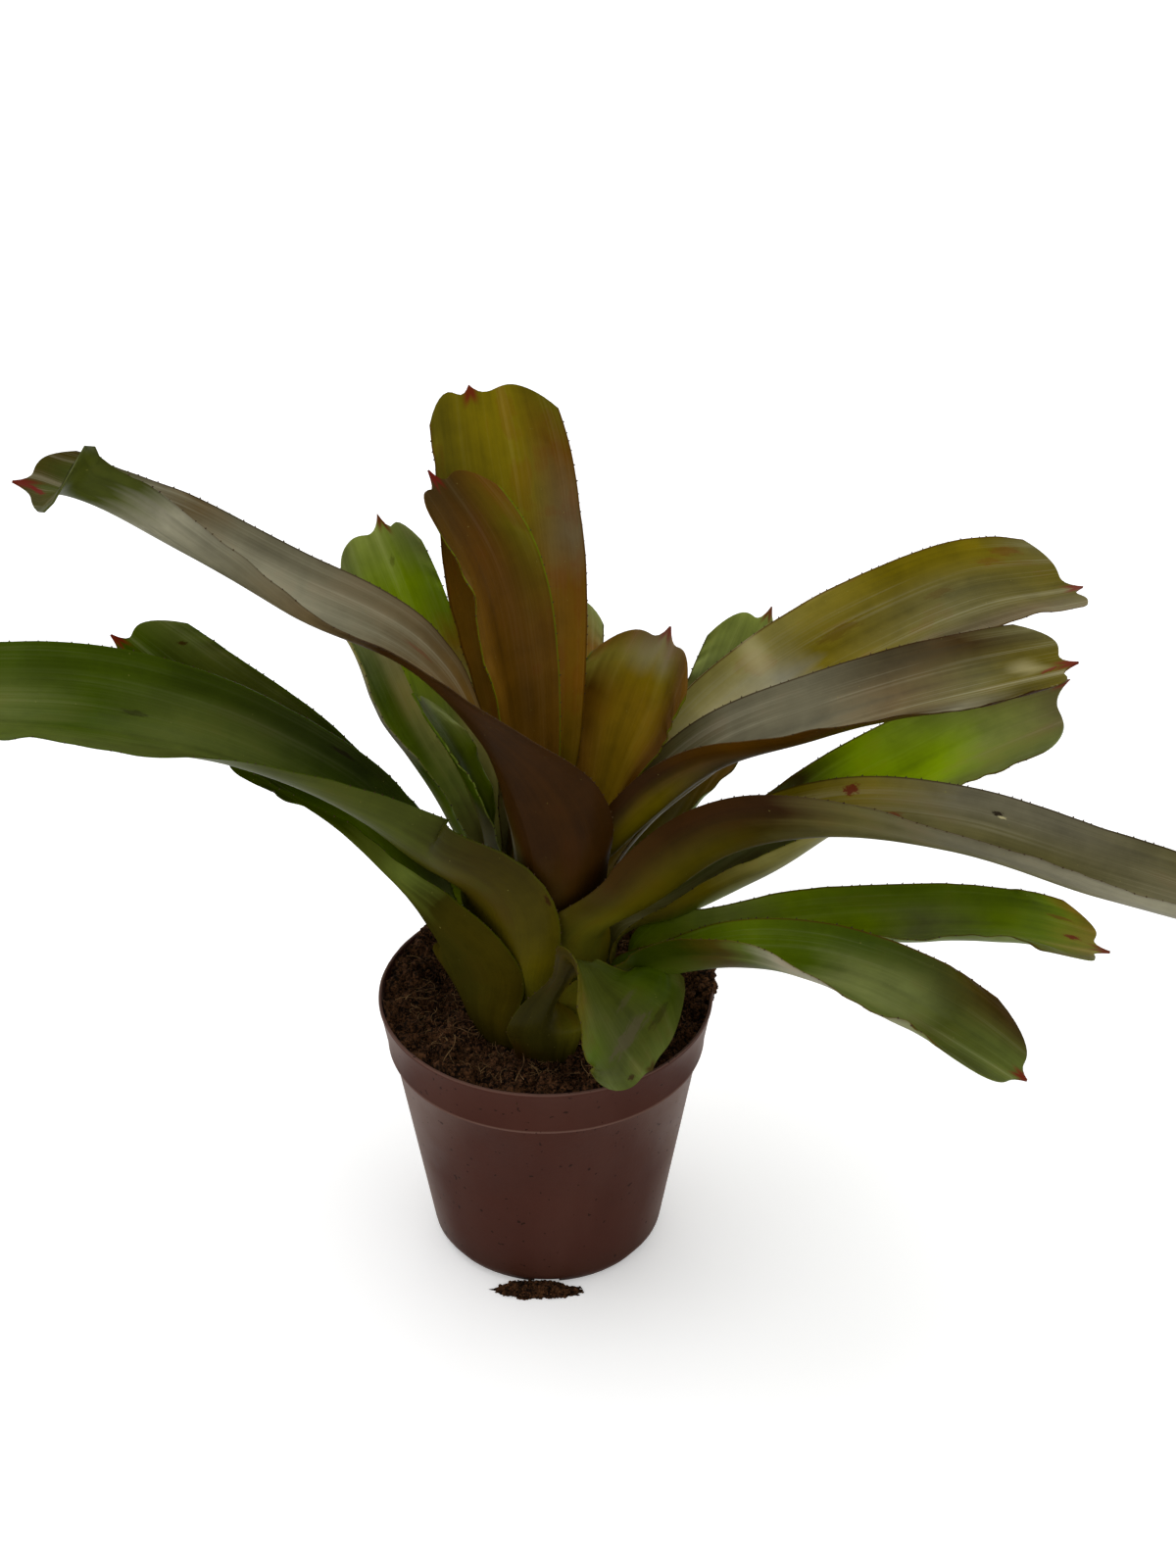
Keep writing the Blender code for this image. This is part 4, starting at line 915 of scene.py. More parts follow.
def peat_material(name, settings, brightness=1.0, size=150.0):
    """Crumbly peat: dark brown with lighter crumbs, fully matt; the darkest tone, in the relief's hollows, is
    partly painted shade.
    """
    made, shader, graph = new_material(name, 0.95, 0.1)
    place = graph.object_place()
    coarse = graph.noise(place, size, 4.0, 0.7)
    fine = graph.noise(place, 5.0 * size, 2.0, 0.6)
    share = graph.plus(graph.times(coarse, 0.6), graph.times(fine, 0.4))
    light = tuple(brightness * part for part in settings.light)
    # Darkest where the relief is lowest: the peat's own dark, deepened as painted shade in the hollows.
    colour = graph.mix(graph.span(share, 0.42, 0.62), tuple(settings.dark), light)
    dress(graph, shader, colour, None, share, 0.0008)
    return made


def fibre_material():
    """Dry coir: pale brown strands that darken here and there."""
    made, shader, graph = new_material("coir", 0.8, 0.15)
    tone = graph.noise(graph.object_place(), 90.0)
    dress(graph, shader, graph.mix(graph.span(tone, 0.35, 0.65), shade(66, 42, 22), shade(146, 114, 74)))
    return made


def spine_material():
    """The small hard teeth on the margins: brown, redder here and there."""
    made, shader, graph = new_material("margin_spine", 0.5, 0.2)
    tone = graph.noise(graph.object_place(), 45.0)
    dress(graph, shader, graph.mix(graph.span(tone, 0.4, 0.6), PALETTE["maroon"], PALETTE["umber"]))
    return made


def stem_material():
    """The pale woody stem with rings where old leaves came off."""
    made, shader, graph = new_material("stem_wood", 0.75, 0.2)
    x, y, z = graph.split(graph.object_place())
    ring = graph.math("SINE", graph.times(z, 2600.0))
    grain = graph.noise(graph.vector(x, y, graph.times(z, 0.15)), 900.0, 3.0)
    share = graph.plus(graph.times(ring, 0.2), grain)
    colour = graph.mix(graph.span(share, 0.3, 0.8), shade(86, 80, 40), shade(140, 130, 78))
    dress(graph, shader, colour, None, share, 0.0003)
    return made


# ---------------------------------------------------------------- mesh helpers
def mesh_of(shape, name):
    """A mesh of the bmesh, which is freed."""
    made = bpy.data.meshes.new(name)
    shape.to_mesh(made)
    shape.free()
    return made


def evaluated_mesh(item, name):
    """A plain mesh of the object with its modifiers applied, and the modifiers removed."""
    graph = bpy.context.evaluated_depsgraph_get()
    made = bpy.data.meshes.new_from_object(item.evaluated_get(graph), depsgraph=graph)
    made.name = name
    item.modifiers.clear()
    return made


def linked(name, mesh):
    """A new object of the mesh in the scene."""
    made = bpy.data.objects.new(name, mesh)
    bpy.context.scene.collection.objects.link(made)
    return made


def add_piece(name, mesh, surface, node=None):
    """A new object of the mesh, with its material, that rides with the plant's body."""
    made = linked(name, mesh)
    mesh.materials.clear()
    mesh.materials.append(surface)
    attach(made, "root")
    if node:
        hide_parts(node)


def smooth_mesh(mesh, angle):
    """Smooth shading that stays sharp past the angle in degrees."""
    mesh.shade_smooth()
    mesh.set_sharp_from_angle(angle=np.radians(angle))


def close_rings(shape, rings, first, last):
    """Faces between the rings, a fan from first to the first ring and one from last to the last ring."""
    sides = len(rings[0])
    for near, far in zip(rings, rings[1:]):
        for k in range(sides):
            after = (k + 1) % sides
            shape.faces.new((near[k], far[k], far[after], near[after]))
    for k in range(sides):
        after = (k + 1) % sides
        shape.faces.new((first, rings[0][k], rings[0][after]))
        shape.faces.new((last, rings[-1][after], rings[-1][k]))
    bmesh.ops.recalc_face_normals(shape, faces=shape.faces)


def joined(name, meshes):
    """One mesh of several."""
    shape = bmesh.new()
    for mesh in meshes:
        shape.from_mesh(mesh)
    return mesh_of(shape, name)


# ---------------------------------------------------------------- blades
def blade_thickness(across, along, settings):
    """Half the blade's thickness: thick at the sheath and midrib, thin at the margins."""
    lengthwise = through_knots(*THICKNESS_RUN, along) * settings.thickness
    margin = 1.0 - MARGIN_THINNING * np.abs(across) ** 5
    keel = KEEL_HEIGHT * np.exp(-((across / KEEL_REACH) ** 2))
    return lengthwise[:, None] * (margin + keel)[None, :]


def blade_relief(leaf, across, along, settings):
    """Small heights on a grown blade: lazy waves along its margins and slight cross buckles."""
    seed = 13.0 * leaf.ring + 0.37 * leaf.azimuth
    waves = np.empty((len(along), len(across)))
    for row, share in enumerate(along):
        for column, side in enumerate(across):
            wave = noise.noise(Vector((seed + BLADE_WAVES * share, 1.3 * side, 0.5)))
            ripple = noise.noise(Vector((seed + BLADE_RIPPLES * share, 2.0 * np.sign(side), 4.5)))
            waves[row, column] = wave * (0.4 + side**2) + 0.35 * ripple * side**4
    return waves * smooth_step(0.15, 0.4, along)[:, None] * settings.wave


def blade_grid(leaf, settings):
    """(upper face, lower face, across, along) of the blade as grids of points."""
    across = np.linspace(-1.0, 1.0, settings.segments + 1)
    across = np.union1d(across, leaf.skew + np.outer(SPINE_LINES, (-1.0, 1.0)))
    along = np.linspace(0.0, 1.0, settings.rows + 1)
    along = along + 0.012 * np.sin(np.pi * along) * along
    along /= along[-1]
    grid = middle_surface(leaf, across, along)
    normal = unit(np.cross(np.gradient(grid, axis=0), np.gradient(grid, axis=1)))
    relief = blade_relief(leaf, across, along, settings)[:, :, None]
    half = blade_thickness(across, along, settings)[:, :, None]
    return grid + normal * (relief + half), grid + normal * (relief - half), across, along


def edge_loop(rows):
    """The grid's outer numbers in order: base, one margin, tip, the other margin."""
    return rows[0][:-1] + [row[-1] for row in rows[:-1]] + rows[-1][:0:-1] + [row[0] for row in rows[:0:-1]]


def blade_faces(rows, columns):
    """The corner numbers of both faces of a blade and of the strip round its edge."""
    lower = rows * columns
    number = np.arange(lower).reshape(rows, columns)
    faces = []
    for row in range(rows - 1):
        for column in range(columns - 1):
            near, after = number[row, column], number[row, column + 1]
            far, beyond = number[row + 1, column], number[row + 1, column + 1]
            faces.append((near, after, beyond, far))
            faces.append(tuple(lower + corner for corner in (far, beyond, after, near)))
    loop = edge_loop(number.tolist())
    for here, then in zip(loop, loop[1:] + loop[:1]):
        faces.append((then, here, lower + here, lower + then))
    return faces


def blade_mesh(leaf, settings):
    """(closed blade, its upper grid, its lower grid), with the UV map and the inner face's mask."""
    upper, lower, across, along = blade_grid(leaf, settings)
    rows, columns = upper.shape[:2]
    mesh = bpy.data.meshes.new(leaf.name)
    points = np.concatenate([upper.reshape(-1, 3), lower.reshape(-1, 3)])
    mesh.from_pydata(points.tolist(), [], blade_faces(rows, columns))
    shape = bmesh.new()
    shape.from_mesh(mesh)
    bmesh.ops.recalc_face_normals(shape, faces=shape.faces)
    shape.to_mesh(mesh)
    shape.free()
    side = np.tile(0.5 + 0.5 * across, 2 * rows)
    rise = np.tile(np.repeat(along, columns), 2)
    corners = np.empty(len(mesh.loops), np.int32)
    mesh.loops.foreach_get("vertex_index", corners)
    mesh.uv_layers.new(name="blade").data.foreach_set("uv", np.stack([side, rise], -1)[corners].ravel())
    inner = np.repeat((1.0, 0.0), rows * columns)
    mesh.attributes.new("inner", "FLOAT", "POINT").data.foreach_set("value", inner)
    smooth_mesh(mesh, 70.0)
    return mesh, upper, lower


def at_stops(stops, reach, line):
    """The line's points at the stops along it."""
    return np.stack([np.interp(stops, reach, line[:, k]) for k in range(3)], -1)


def margin_points(upper, lower, spacing):
    """(points, outward directions) spaced along both free margins of a blade."""
    middle = 0.5 * (upper + lower)
    places, ways = [], []
    for edge, inside in ((0, 1), (-1, -2)):
        line = middle[:, edge]
        out = unit(line - middle[:, inside])
        lean = unit(out + 0.5 * unit(np.gradient(line, axis=0)))
        steps = np.linalg.norm(np.diff(line, axis=0), axis=1)
        reach = np.concatenate([[0.0], np.cumsum(steps)])
        stops = np.arange(TEETH_START * reach[-1], TEETH_END * reach[-1], spacing)
        stops = stops + 0.3 * spacing * np.sin(stops * 5.1 / spacing)
        places.append(at_stops(stops, reach, line))
        ways.append(at_stops(stops, reach, lean))
    return np.concatenate(places), unit(np.concatenate(ways))


# ---------------------------------------------------------------- geometry trees
def geometry_tree(name, **inputs):
    """(graph, inputs) of a geometry tree that has the named inputs."""
    tree = bpy.data.node_groups.new(name, "GeometryNodeTree")
    for way in ("INPUT", "OUTPUT"):
        tree.interface.new_socket(name="Geometry", in_out=way, socket_type="NodeSocketGeometry")
    name_inputs(tree, inputs)
    graph = Graph(tree)
    return graph, graph.node("NodeGroupInput").outputs


def closed_tree(graph, instances, surface):
    """The tree, ended with real geometry that has its material."""
    real = graph.filled("GeometryNodeRealizeInstances", Geometry=instances)
    dressed = graph.filled("GeometryNodeSetMaterial", Geometry=real[0], Material=surface)
    graph.filled("NodeGroupOutput", Geometry=dressed[0])
    return graph.tree


def point_value(graph, kind, name):
    """A named attribute of the points."""
    made = graph.node("GeometryNodeInputNamedAttribute", data_type=kind)
    return graph.fill(made, Name=name)[0]


def random_value(graph, kind, low, high, seed):
    """A random number or vector between low and high for each point."""
    made = graph.node("FunctionNodeRandomValue", data_type=kind)
    sockets = {socket.identifier: socket for socket in made.inputs}
    tail = {"FLOAT": "_001", "FLOAT_VECTOR": ""}[kind]
    for name, part in (("Min" + tail, low), ("Max" + tail, high), ("Seed", seed)):
        graph.put(sockets[name], part)
    return next(socket for socket in made.outputs if socket.enabled)


def scattered(graph, given, instance, tilt, ground):
    """The instance on random points of the marked ground, tilted up to a limit and turned every way."""
    density = graph.times(point_value(graph, "FLOAT", ground), given["Density"])
    strewn = graph.filled("GeometryNodeDistributePointsOnFaces", Mesh=given["Geometry"],
                          Density=density, Seed=given["Seed"])
    turn = random_value(graph, "FLOAT_VECTOR", (-tilt, -tilt, 0.0), (tilt, tilt, 2.0 * np.pi), TURN_SEED)
    size = random_value(graph, "FLOAT_VECTOR", (0.45, 0.45, 0.4), (1.5, 1.2, 1.1), given["Seed"])
    return graph.filled("GeometryNodeInstanceOnPoints", Points=strewn["Points"], Instance=instance,
                        Rotation=turn, Scale=size)[0]


def spine_tree():
    """Sets one small tooth at each point, along the point's own outward direction."""
    graph, given = geometry_tree(
        "margin_spines", Spine_Length=0.0008, Spine_Width=0.0005, Seed=3, Material=None)
    tooth = graph.filled("GeometryNodeMeshCone", Vertices=5, Radius_Bottom=given["Spine Width"],
                         Depth=given["Spine Length"])
    turn = graph.fill(graph.node("FunctionNodeAlignRotationToVector", axis="Z"),
                      Vector=point_value(graph, "FLOAT_VECTOR", "outward"))
    size = random_value(graph, "FLOAT", 0.6, 1.25, given["Seed"])
    teeth = graph.filled("GeometryNodeInstanceOnPoints", Points=given["Geometry"],
                         Instance=tooth["Mesh"], Rotation=turn[0], Scale=size)
    return closed_tree(graph, teeth[0], given["Material"])


def crumb_tree():
    """Strews small rough crumbs over the open ground of a mesh."""
    graph, given = geometry_tree("peat_crumbs", Crumb_Size=0.0006, Density=500000.0, Seed=5, Material=None)
    ball = graph.filled("GeometryNodeMeshIcoSphere", Radius=given["Crumb Size"], Subdivisions=1)
    crumbs = scattered(graph, given, ball["Mesh"], np.pi, "open_ground")
    return closed_tree(graph, crumbs, given["Material"])


def fibre_tree():
    """Strews short bent strands over the ground of a mesh."""
    graph, given = geometry_tree(
        "coir_strands", Strand_Length=0.010, Strand_Radius=0.0001, Bend=(0.1, 0.3, 0.25), Density=60000.0,
        Seed=7, Material=None)
    long = given["Strand Length"]
    half = graph.times(long, 0.5)
    x, y, z = (graph.times(part, long) for part in graph.split(given["Bend"]))
    bow = graph.filled(
        "GeometryNodeCurvePrimitiveBezierSegment", Resolution=8,
        Start=graph.vector(graph.times(half, -1.0), 0.0), End=graph.vector(half, 0.0),
        Start_Handle=graph.vector(x, y, z), End_Handle=graph.vector(x, graph.times(y, -0.6), z))
    ring = graph.filled("GeometryNodeCurvePrimitiveCircle", Resolution=4, Radius=given["Strand Radius"])
    tube = graph.filled("GeometryNodeCurveToMesh", Curve=bow[0], Profile_Curve=ring[0], Fill_Caps=True)
    return closed_tree(graph, scattered(graph, given, tube["Mesh"], 0.45, "strand_ground"), given["Material"])


def grown(mesh, tree, name, **values):
    """A plain mesh of what the tree makes on the source mesh."""
    source = linked(name + "_source", mesh)
    modifier = source.modifiers.new("grow", "NODES")
    modifier.node_group = tree
    for item in tree.interface.items_tree:
        key = item.name.replace(" ", "_").lower()
        if item.in_out == "INPUT" and key in values:
            modifier[item.identifier] = values[key]
    made = evaluated_mesh(source, name)
    bpy.data.objects.remove(source, do_unlink=True)
    return made


# ---------------------------------------------------------------- peat
def ground_height(x, y, settings):
    """Height of the peat's top: level with soft clods, higher towards the pot's back wall."""
    lump = noise.fractal(Vector((LUMP_SCALE * x, LUMP_SCALE * y, 1.7)), 0.9, 2.1, 4)
    cells = noise.voronoi(Vector((CLOD_SCALE * x, CLOD_SCALE * y, 0.4)))[0][0]
    grit = noise.fractal(Vector((GRIT_SCALE * x, GRIT_SCALE * y, 5.2)), 0.8, 2.0, 3)
    rough = settings.clods * (lump + 1.1 * (0.45 - cells) + 0.4 * grit)
    back = smooth_step(-0.03, 0.03, y + 0.4 * abs(x))
    climb = smooth_step(CLIMB_START, CLIMB_END, np.hypot(x, y)) * (0.6 + 0.4 * back)
    return settings.level + rough + settings.rise * climb


def mark_ground(ring, open_ground, strand_ground):
    """Marks where crumbs may lie, clear of the leaves and the wall, and strands, further in."""
    for vertex in ring:
        radius = vertex.co.xy.length
        clear = smooth_step(0.012, 0.02, np.hypot(vertex.co.x - STEM_AXIS[0], vertex.co.y - STEM_AXIS[1]))
        vertex[open_ground] = float(clear * smooth_step(0.0578, 0.0552, radius))
        vertex[strand_ground] = vertex[open_ground] * float(smooth_step(0.052, 0.046, radius))


def level_ring(shape, turns, radius, height):
    """New points round a level circle."""
    return [shape.verts.new((radius * np.cos(turn), radius * np.sin(turn), height)) for turn in turns]


def peat_mesh(settings):
    """The whole peat body: a cloddy top, then down inside the pot's wall to its floor."""
    rim = POT_BOX[1].x - settings.wall_gap
    shape = bmesh.new()
    layers = [shape.verts.layers.float.new(name) for name in ("open_ground", "strand_ground")]
    turns = 2.0 * np.pi * np.arange(settings.sides) / settings.sides
    heart = shape.verts.new((0.0, 0.0, settings.level))
    rings = []
    for radius in np.linspace(PEAT_FIRST_RING, rim, settings.rings):
        places = [(radius * np.cos(turn), radius * np.sin(turn)) for turn in turns]
        rings.append([shape.verts.new((x, y, ground_height(x, y, settings))) for x, y in places])
    top = len(rings)
    for radius, height in ((rim - 0.0006, 0.0965), *PEAT_SIDE):
        rings.append(level_ring(shape, turns, radius, height))
    foot = shape.verts.new((0.0, 0.0, PEAT_SIDE[-1][1]))
    close_rings(shape, rings, heart, foot)
    for ring in rings[:top]:
        mark_ground(ring, *layers)
    mesh = mesh_of(shape, "peat")
    mesh.shade_smooth()
    return mesh


def clump_mesh(centre, size, seed):
    """A lump of peat of the given half sizes, rough all over, to strew crumbs on."""
    shape = bmesh.new()
    open_ground = shape.verts.layers.float.new("open_ground")
    bmesh.ops.create_icosphere(shape, subdivisions=4, radius=1.0)
    for vertex in shape.verts:
        swell = 1.0 + 0.35 * noise.fractal(vertex.co * 2.2 + Vector((seed, 0.0, 0.0)), 0.8, 2.0, 4)
        vertex.co = Vector(centre) + Vector([part * half for part, half in zip(vertex.co * swell, size)])
        vertex.co.z = max(vertex.co.z, 0.0001)
        vertex[open_ground] = 1.0
    bmesh.ops.recalc_face_normals(shape, faces=shape.faces)
    mesh = mesh_of(shape, "clump")
    mesh.shade_smooth()
    return mesh


# ---------------------------------------------------------------- pot
def round_corner(radius, height, steps):
    """Points of the profile round a corner, from their steps outwards and upwards."""
    return [(radius + out, height + up) for out, up in steps]


def pot_profile(settings):
    """(radius, height) points of the pot's wall, inside first, then over the rim and down outside."""
    rim, top = POT_BOX[1].x, POT_BOX[1].z
    wall = settings.wall
    shoulder = top - settings.band_height
    band, neck = settings.band_radius, settings.shoulder_radius
    foot, base = settings.foot_radius, settings.base_radius
    inside = (
        (0.0, BASE_TOP), (base - BASE_TOP, BASE_TOP), (foot - wall, FOOT_INSIDE),
        (neck - wall, shoulder + wall), (band - wall, shoulder + 2.2 * wall))
    lip = ((rim - share * wall, top - drop) for share, drop in LIP_ROUND)
    wall_middle = (0.5 * (neck + foot), 0.5 * (shoulder + FOOT_OUTSIDE))
    return (
        *inside, *lip, *round_corner(rim, top, LIP_SIDE),
        *round_corner(band, shoulder, BAND_EDGE), *round_corner(neck, shoulder, NECK_EDGE), wall_middle,
        *round_corner(foot, 0.0, FOOT_ROUND), *round_corner(base, 0.0, BASE_ROUND), (0.0, BASE_UNDERSIDE))


def pot_mesh(settings):
    """The moulded pot turned from its profile, a little out of true, with its drain slots cut."""
    profile = pot_profile(settings)
    shape = bmesh.new()
    rings = []
    for radius, height in profile[1:-1]:
        ring = []
        for turn in 2.0 * np.pi * np.arange(settings.sides) / settings.sides:
            x, y = np.cos(turn), np.sin(turn)
            wander = noise.fractal(Vector((3.0 * x, 3.0 * y, 30.0 * height)), 1.0, 2.0, 3)
            flash = noise.noise(Vector((40.0 * x, 40.0 * y, 2.0)))
            lift = 0.00012 * flash * smooth_step(0.102, 0.1035, height)
            reach = radius + 0.00015 * wander
            ring.append(shape.verts.new((reach * x, reach * y, height + lift)))
        rings.append(ring)
    inside, under = (shape.verts.new((0.0, 0.0, height)) for _, height in (profile[0], profile[-1]))
    close_rings(shape, rings, inside, under)
    return slotted(mesh_of(shape, "nursery_pot_shell"), settings)


def slotted(mesh, settings):
    """The pot's mesh with a drain slot cut through its bottom corner in even steps."""
    shape = bmesh.new()
    for slot in range(settings.slots):
        turn = Matrix.Rotation(2.0 * np.pi * (slot + 0.5) / settings.slots, 3, "Z")
        made = bmesh.ops.create_cube(shape, size=1.0)["verts"]
        bmesh.ops.scale(shape, vec=SLOT_SIZE, verts=made)
        bmesh.ops.translate(shape, vec=(settings.base_radius, 0.0, 0.0), verts=made)
        bmesh.ops.rotate(shape, cent=ORIGIN, matrix=turn, verts=made)
    tool = linked("drain_slots", mesh_of(shape, "drain_slots"))
    body = linked("pot_body", mesh)
    boolean = body.modifiers.new("slots", "BOOLEAN")
    boolean.operation = "DIFFERENCE"
    boolean.object = tool
    made = evaluated_mesh(body, "nursery_pot_shell")
    for item in (tool, body):
        bpy.data.objects.remove(item, do_unlink=True)
    smooth_mesh(made, 38.0)
    return made


# ---------------------------------------------------------------- settings
def length_setting(name, description, default):
    return bpy.props.FloatProperty(
        name=name, description=description, default=default, unit="LENGTH", precision=5)


def share_setting(name, description, default):
    return bpy.props.FloatProperty(
        name=name, description=description, default=default, min=0.0, max=1.0, subtype="FACTOR")


def number_setting(name, description, default):
    return bpy.props.FloatProperty(name=name, description=description, default=default, min=0.0)


def count_setting(name, description, default):
    return bpy.props.IntProperty(name=name, description=description, default=default, min=3)


def colour_setting(name, description, default):
    return bpy.props.FloatVectorProperty(
        name=name, description=description, default=default, subtype="COLOR", min=0.0, max=1.0)


class LeafSettings(bpy.types.PropertyGroup):
    """Sizes and finish that every leaf shares."""

    segments: count_setting("Segments across", "Faces across a blade", 28)
    rows: count_setting("Rows along", "Faces along a blade", 110)
    thickness: length_setting("Thickness", "Thickness of a blade at its midrib", 0.0014)
    wave: length_setting("Wave", "Height of the lazy waves in a blade", 0.0022)
    roughness: share_setting("Roughness", "Roughness of the waxy skin", 0.38)
    gloss: share_setting("Gloss", "Specular level of the waxy skin", 0.04)
    veins: share_setting("Veins", "Contrast of the parallel veins", 0.14)
    vein_depth: length_setting("Vein depth", "Depth of the parallel veins", 0.00012)


class SpineSettings(bpy.types.PropertyGroup):
    """The small teeth along the margins."""

    spacing: length_setting("Spacing", "Distance between two teeth", 0.0042)
    length: length_setting("Length", "Length of a tooth", 0.0006)
    width: length_setting("Width", "Radius of a tooth's foot", 0.00030)


class PeatSettings(bpy.types.PropertyGroup):
    """The peat in the pot and the little that has fallen beside it."""

    level: length_setting("Level", "Height of the peat's top", 0.0990)
    rise: length_setting("Rise", "How far the peat climbs at the pot's wall", 0.0034)
    clods: length_setting("Clods", "Height of the clods", 0.0048)
    wall_gap: length_setting("Wall gap", "How far the peat's edge lies inside the rim", 0.0016)
    sides: count_setting("Sides", "Points round each ring of the peat", 340)
    rings: count_setting("Rings", "Rings of points on the peat's top", 86)
    crumb: length_setting("Crumb", "Radius of a crumb", 0.0008)
    # The hollows' colour is partly painted shade.
    dark: colour_setting("Dark peat", "Colour of the peat's hollows", shade(17, 9, 4))
    light: colour_setting("Light peat", "Colour of the peat's crumbs", shade(92, 60, 36))


class PotSettings(bpy.types.PropertyGroup):
    """The moulded nursery pot."""

    wall: length_setting("Wall", "Thickness of the pot's wall", 0.0011)
    band_height: length_setting("Band height", "Height of the band under the rim", 0.0195)
    band_radius: length_setting("Band radius", "Radius of the band's lower edge", 0.0568)
    shoulder_radius: length_setting("Shoulder radius", "Radius of the wall under the band", 0.0553)
    foot_radius: length_setting("Foot radius", "Radius of the wall at its foot", 0.0424)
    base_radius: length_setting("Base radius", "Radius of the flat underside", 0.0388)
    slots: count_setting("Drain slots", "Slots round the pot's bottom corner", 6)
    sides: count_setting("Sides", "Points round the pot", 180)
    colour: colour_setting("Plastic", "Colour of the pot's plastic", shade(68, 38, 30))


class StageSettings(bpy.types.PropertyGroup):
    """The plain floor, light and camera."""

    floor: colour_setting("Floor", "Colour of the floor", (0.98, 0.98, 0.98))
    lift: number_setting("Lift", "How much the floor is lifted towards white as seen directly", 0.30)
    sky: number_setting("Sky", "Strength of the even light", 0.72)
    lamp: number_setting("Lamp", "Strength of the soft lamp above", 1.15)
    lens: number_setting("Lens", "Focal length in millimetres on a 36 mm sensor", 72.0)


# ---------------------------------------------------------------- operators
class BROMELIAD_OT_leaves(bpy.types.Operator):
    """Make every leaf of the rosette, each as its own blade"""

    bl_idname = "bromeliad.leaves"
    bl_label = "Leaves"

    def execute(self, context):
        settings = context.scene.bromeliad_leaf
        teeth = context.scene.bromeliad_spine
        places, ways = [], []
        for leaf in LEAVES:
            mesh, upper, lower = blade_mesh(leaf, settings)
            length = float(midrib(leaf)[1][-1])
            surface = leaf_material(leaf, LOOKS[leaf.name], length, settings)
            add_piece(leaf.name + "_blade", mesh, surface, node=leaf.name)
            points, outward = margin_points(upper, lower, teeth.spacing)
            places.append(points)
            ways.append(outward)
        source = bpy.data.meshes.new("margin_points")
        source.from_pydata(np.concatenate(places).tolist(), [], [])
        outward = source.attributes.new("outward", "FLOAT_VECTOR", "POINT")
        outward.data.foreach_set("vector", np.concatenate(ways).ravel())
        surface = spine_material()
        mesh = grown(source, spine_tree(), "margin_spines", spine_length=teeth.length,
                     spine_width=teeth.width, seed=3, material=surface)
        add_piece("margin_spines", mesh, surface)
        return {"FINISHED"}


class BROMELIAD_OT_stem(bpy.types.Operator):
    """Give the short stem its woody finish"""

    bl_idname = "bromeliad.stem"
    bl_label = "Stem"

    def execute(self, context):
        surface = stem_material()
        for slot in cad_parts["stem"].material_slots:
            slot.material = surface
        return {"FINISHED"}


class BROMELIAD_OT_peat(bpy.types.Operator):
    """Make the peat in the pot with its crumbs and coir strands"""

    bl_idname = "bromeliad.peat"
    bl_label = "Peat"

    def execute(self, context):
        settings = context.scene.bromeliad_peat
        meshes = (peat_mesh(settings), clump_mesh(*RIM_CLUMP))
        body = joined("peat", meshes)
        smooth_mesh(body, 80.0)
        add_piece("peat_body", body, peat_material("peat", settings), node="potting_soil")
        strewn = joined("peat_ground", meshes)
        surface = peat_material("peat_crumbs", settings, *CRUMB_FINISH)
        tree = crumb_tree()
        for label, size, density, seed in CRUMBS:
            mesh = grown(strewn, tree, "peat_crumbs_" + label, crumb_size=settings.crumb * size,
                         density=density, seed=seed, material=surface)
            add_piece("peat_crumbs_" + label, mesh, surface)
        surface = fibre_material()
        tree = fibre_tree()
        for label, length, radius, bend, density, seed in STRANDS:
            mesh = grown(strewn, tree, "coir_" + label, strand_length=length, strand_radius=radius, bend=bend,
                         density=density, seed=seed, material=surface)
            add_piece("coir_" + label, mesh, surface)
        return {"FINISHED"}


class BROMELIAD_OT_spill(bpy.types.Operator):
    """Make the little heap of peat that lies against the pot's foot"""

    bl_idname = "bromeliad.spill"
    bl_label = "Fallen peat"

    def execute(self, context):
        settings = context.scene.bromeliad_peat
        low, high = SPILL_BOX
        centre = 0.5 * (low + high)
        half = 0.5 * (high - low)
        heap = clump_mesh((centre.x, centre.y, 0.0), (0.95 * half.x, 0.9 * half.y, 0.8 * high.z), 8.0)
        add_piece("fallen_peat", heap, peat_material("fallen_peat", settings), node="peat_spill")
        surface = peat_material("fallen_crumbs", settings, *CRUMB_FINISH)
        mesh = grown(heap, crumb_tree(), "fallen_crumbs", crumb_size=0.00055, density=1500000.0, seed=31,
                     material=surface)
        for vertex in mesh.vertices:
            vertex.co.z = max(vertex.co.z, 0.0)
        add_piece("fallen_crumbs", mesh, surface)
        return {"FINISHED"}


class BROMELIAD_OT_pot(bpy.types.Operator):
    """Make the moulded nursery pot"""

    bl_idname = "bromeliad.pot"
    bl_label = "Nursery pot"

    def execute(self, context):
        settings = context.scene.bromeliad_pot
        add_piece("nursery_pot_shell", pot_mesh(settings), plastic_material(settings), node="nursery_pot")
        return {"FINISHED"}


def make_floor(settings):
    """A wide pale floor, lifted towards white as the camera sees it, that keeps the shadow."""
    mesh = bpy.data.meshes.new("floor")
    corners = [(x * FLOOR_REACH, y * FLOOR_REACH, 0.0) for x, y in ((-1, -1), (1, -1), (1, 1), (-1, 1))]
    mesh.from_pydata(corners, [], [(0, 1, 2, 3)])
    made, shader, graph = new_material("floor_paper", 0.9, 0.0)
    shader.inputs["Base Color"].default_value = (*settings.floor, 1.0)
    seen = graph.node("ShaderNodeLightPath").outputs["Is Camera Ray"]
    graph.put(shader.inputs["Emission Color"], graph.mix(seen, ORIGIN, WHITE))
    shader.inputs["Emission Strength"].default_value = settings.lift
    mesh.materials.append(made)
    linked("floor", mesh)


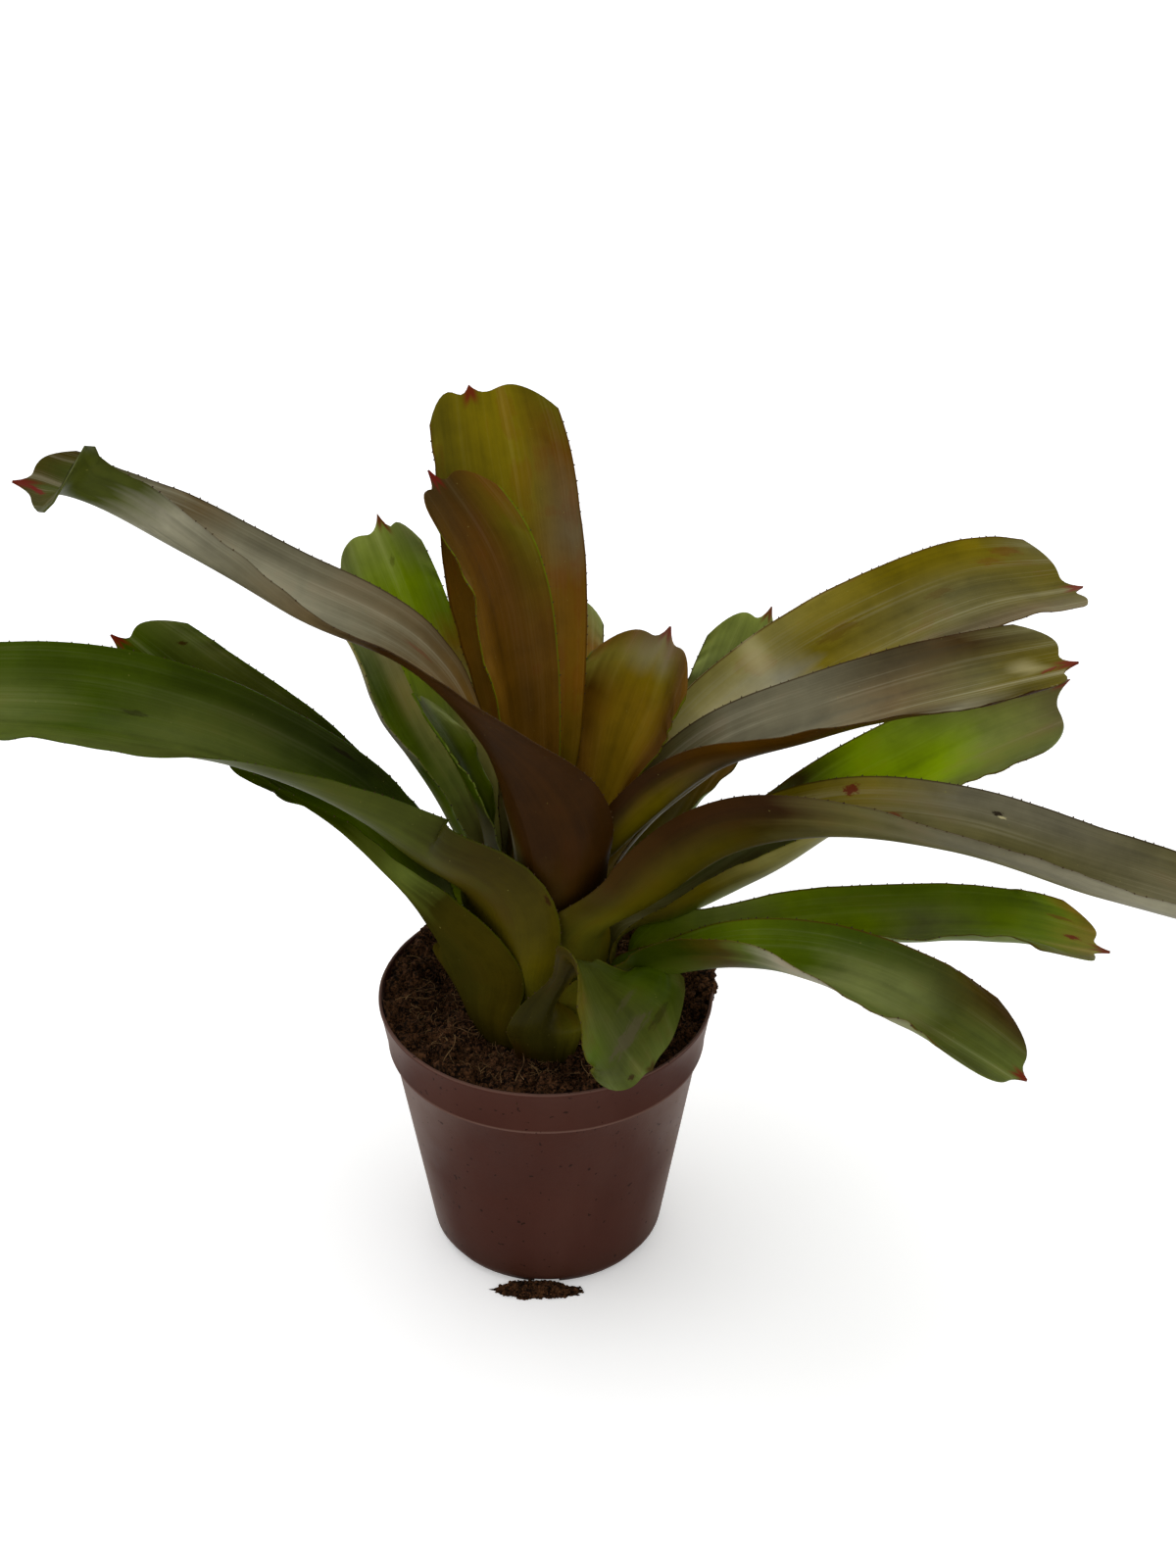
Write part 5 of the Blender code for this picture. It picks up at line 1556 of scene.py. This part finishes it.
def make_light(scene, settings):
    """An even white sky and one soft lamp above."""
    world = bpy.data.worlds.new("plain_sky")
    world.use_nodes = True
    graph = Graph(world.node_tree)
    sky = world.node_tree.nodes["Background"]
    sky.inputs["Color"].default_value = (*WHITE, 1.0)
    seen = graph.node("ShaderNodeLightPath").outputs["Is Camera Ray"]
    graph.put(sky.inputs["Strength"], graph.blend(seen, settings.sky, 1.0))
    scene.world = world
    light = bpy.data.lights.new("soft_lamp", "SUN")
    light.energy = settings.lamp
    light.angle = np.radians(70.0)
    linked("soft_lamp", light).rotation_euler = np.radians(LAMP_TURN)


def make_camera(scene, settings):
    """The camera that looks down on the plant's front."""
    view = bpy.data.cameras.new("camera")
    view.lens = settings.lens
    view.sensor_width = 36.0
    camera = linked("camera", view)
    camera.location = CAMERA_PLACE
    camera.rotation_euler = np.radians(CAMERA_TURN)
    scene.camera = camera
    scene.view_settings.view_transform = "Standard"


class BROMELIAD_OT_stage(bpy.types.Operator):
    """Make the plain floor, the soft light and the camera"""

    bl_idname = "bromeliad.stage"
    bl_label = "Stage"

    def execute(self, context):
        settings = context.scene.bromeliad_stage
        make_floor(settings)
        make_light(context.scene, settings)
        make_camera(context.scene, settings)
        return {"FINISHED"}


OPERATORS = (
    BROMELIAD_OT_leaves,
    BROMELIAD_OT_stem,
    BROMELIAD_OT_peat,
    BROMELIAD_OT_spill,
    BROMELIAD_OT_pot,
    BROMELIAD_OT_stage,
)
SETTINGS = {
    "bromeliad_leaf": LeafSettings,
    "bromeliad_spine": SpineSettings,
    "bromeliad_peat": PeatSettings,
    "bromeliad_pot": PotSettings,
    "bromeliad_stage": StageSettings,
}


class BROMELIAD_PT_panel(bpy.types.Panel):
    """Settings and buttons for each part of the plant"""

    bl_label = "Potted bromeliad"
    bl_idname = "BROMELIAD_PT_panel"
    bl_space_type = "VIEW_3D"
    bl_region_type = "UI"
    bl_category = "Bromeliad"

    def draw(self, context):
        layout = self.layout
        for name, kind in SETTINGS.items():
            box = layout.box()
            box.label(text=kind.__doc__.strip(". "))
            for key in kind.__annotations__:
                box.prop(getattr(context.scene, name), key)
        for operator in OPERATORS:
            layout.operator(operator.bl_idname)


CLASSES = (*SETTINGS.values(), *OPERATORS, BROMELIAD_PT_panel)


def register():
    for kind in CLASSES:
        bpy.utils.register_class(kind)
    for name, kind in SETTINGS.items():
        setattr(bpy.types.Scene, name, bpy.props.PointerProperty(type=kind))


def unregister():
    for name in SETTINGS:
        delattr(bpy.types.Scene, name)
    for kind in reversed(CLASSES):
        bpy.utils.unregister_class(kind)


def main():
    register()
    for operator in OPERATORS:
        group, name = operator.bl_idname.split(".")
        getattr(getattr(bpy.ops, group), name)()


if __name__ == "__main__":
    main()
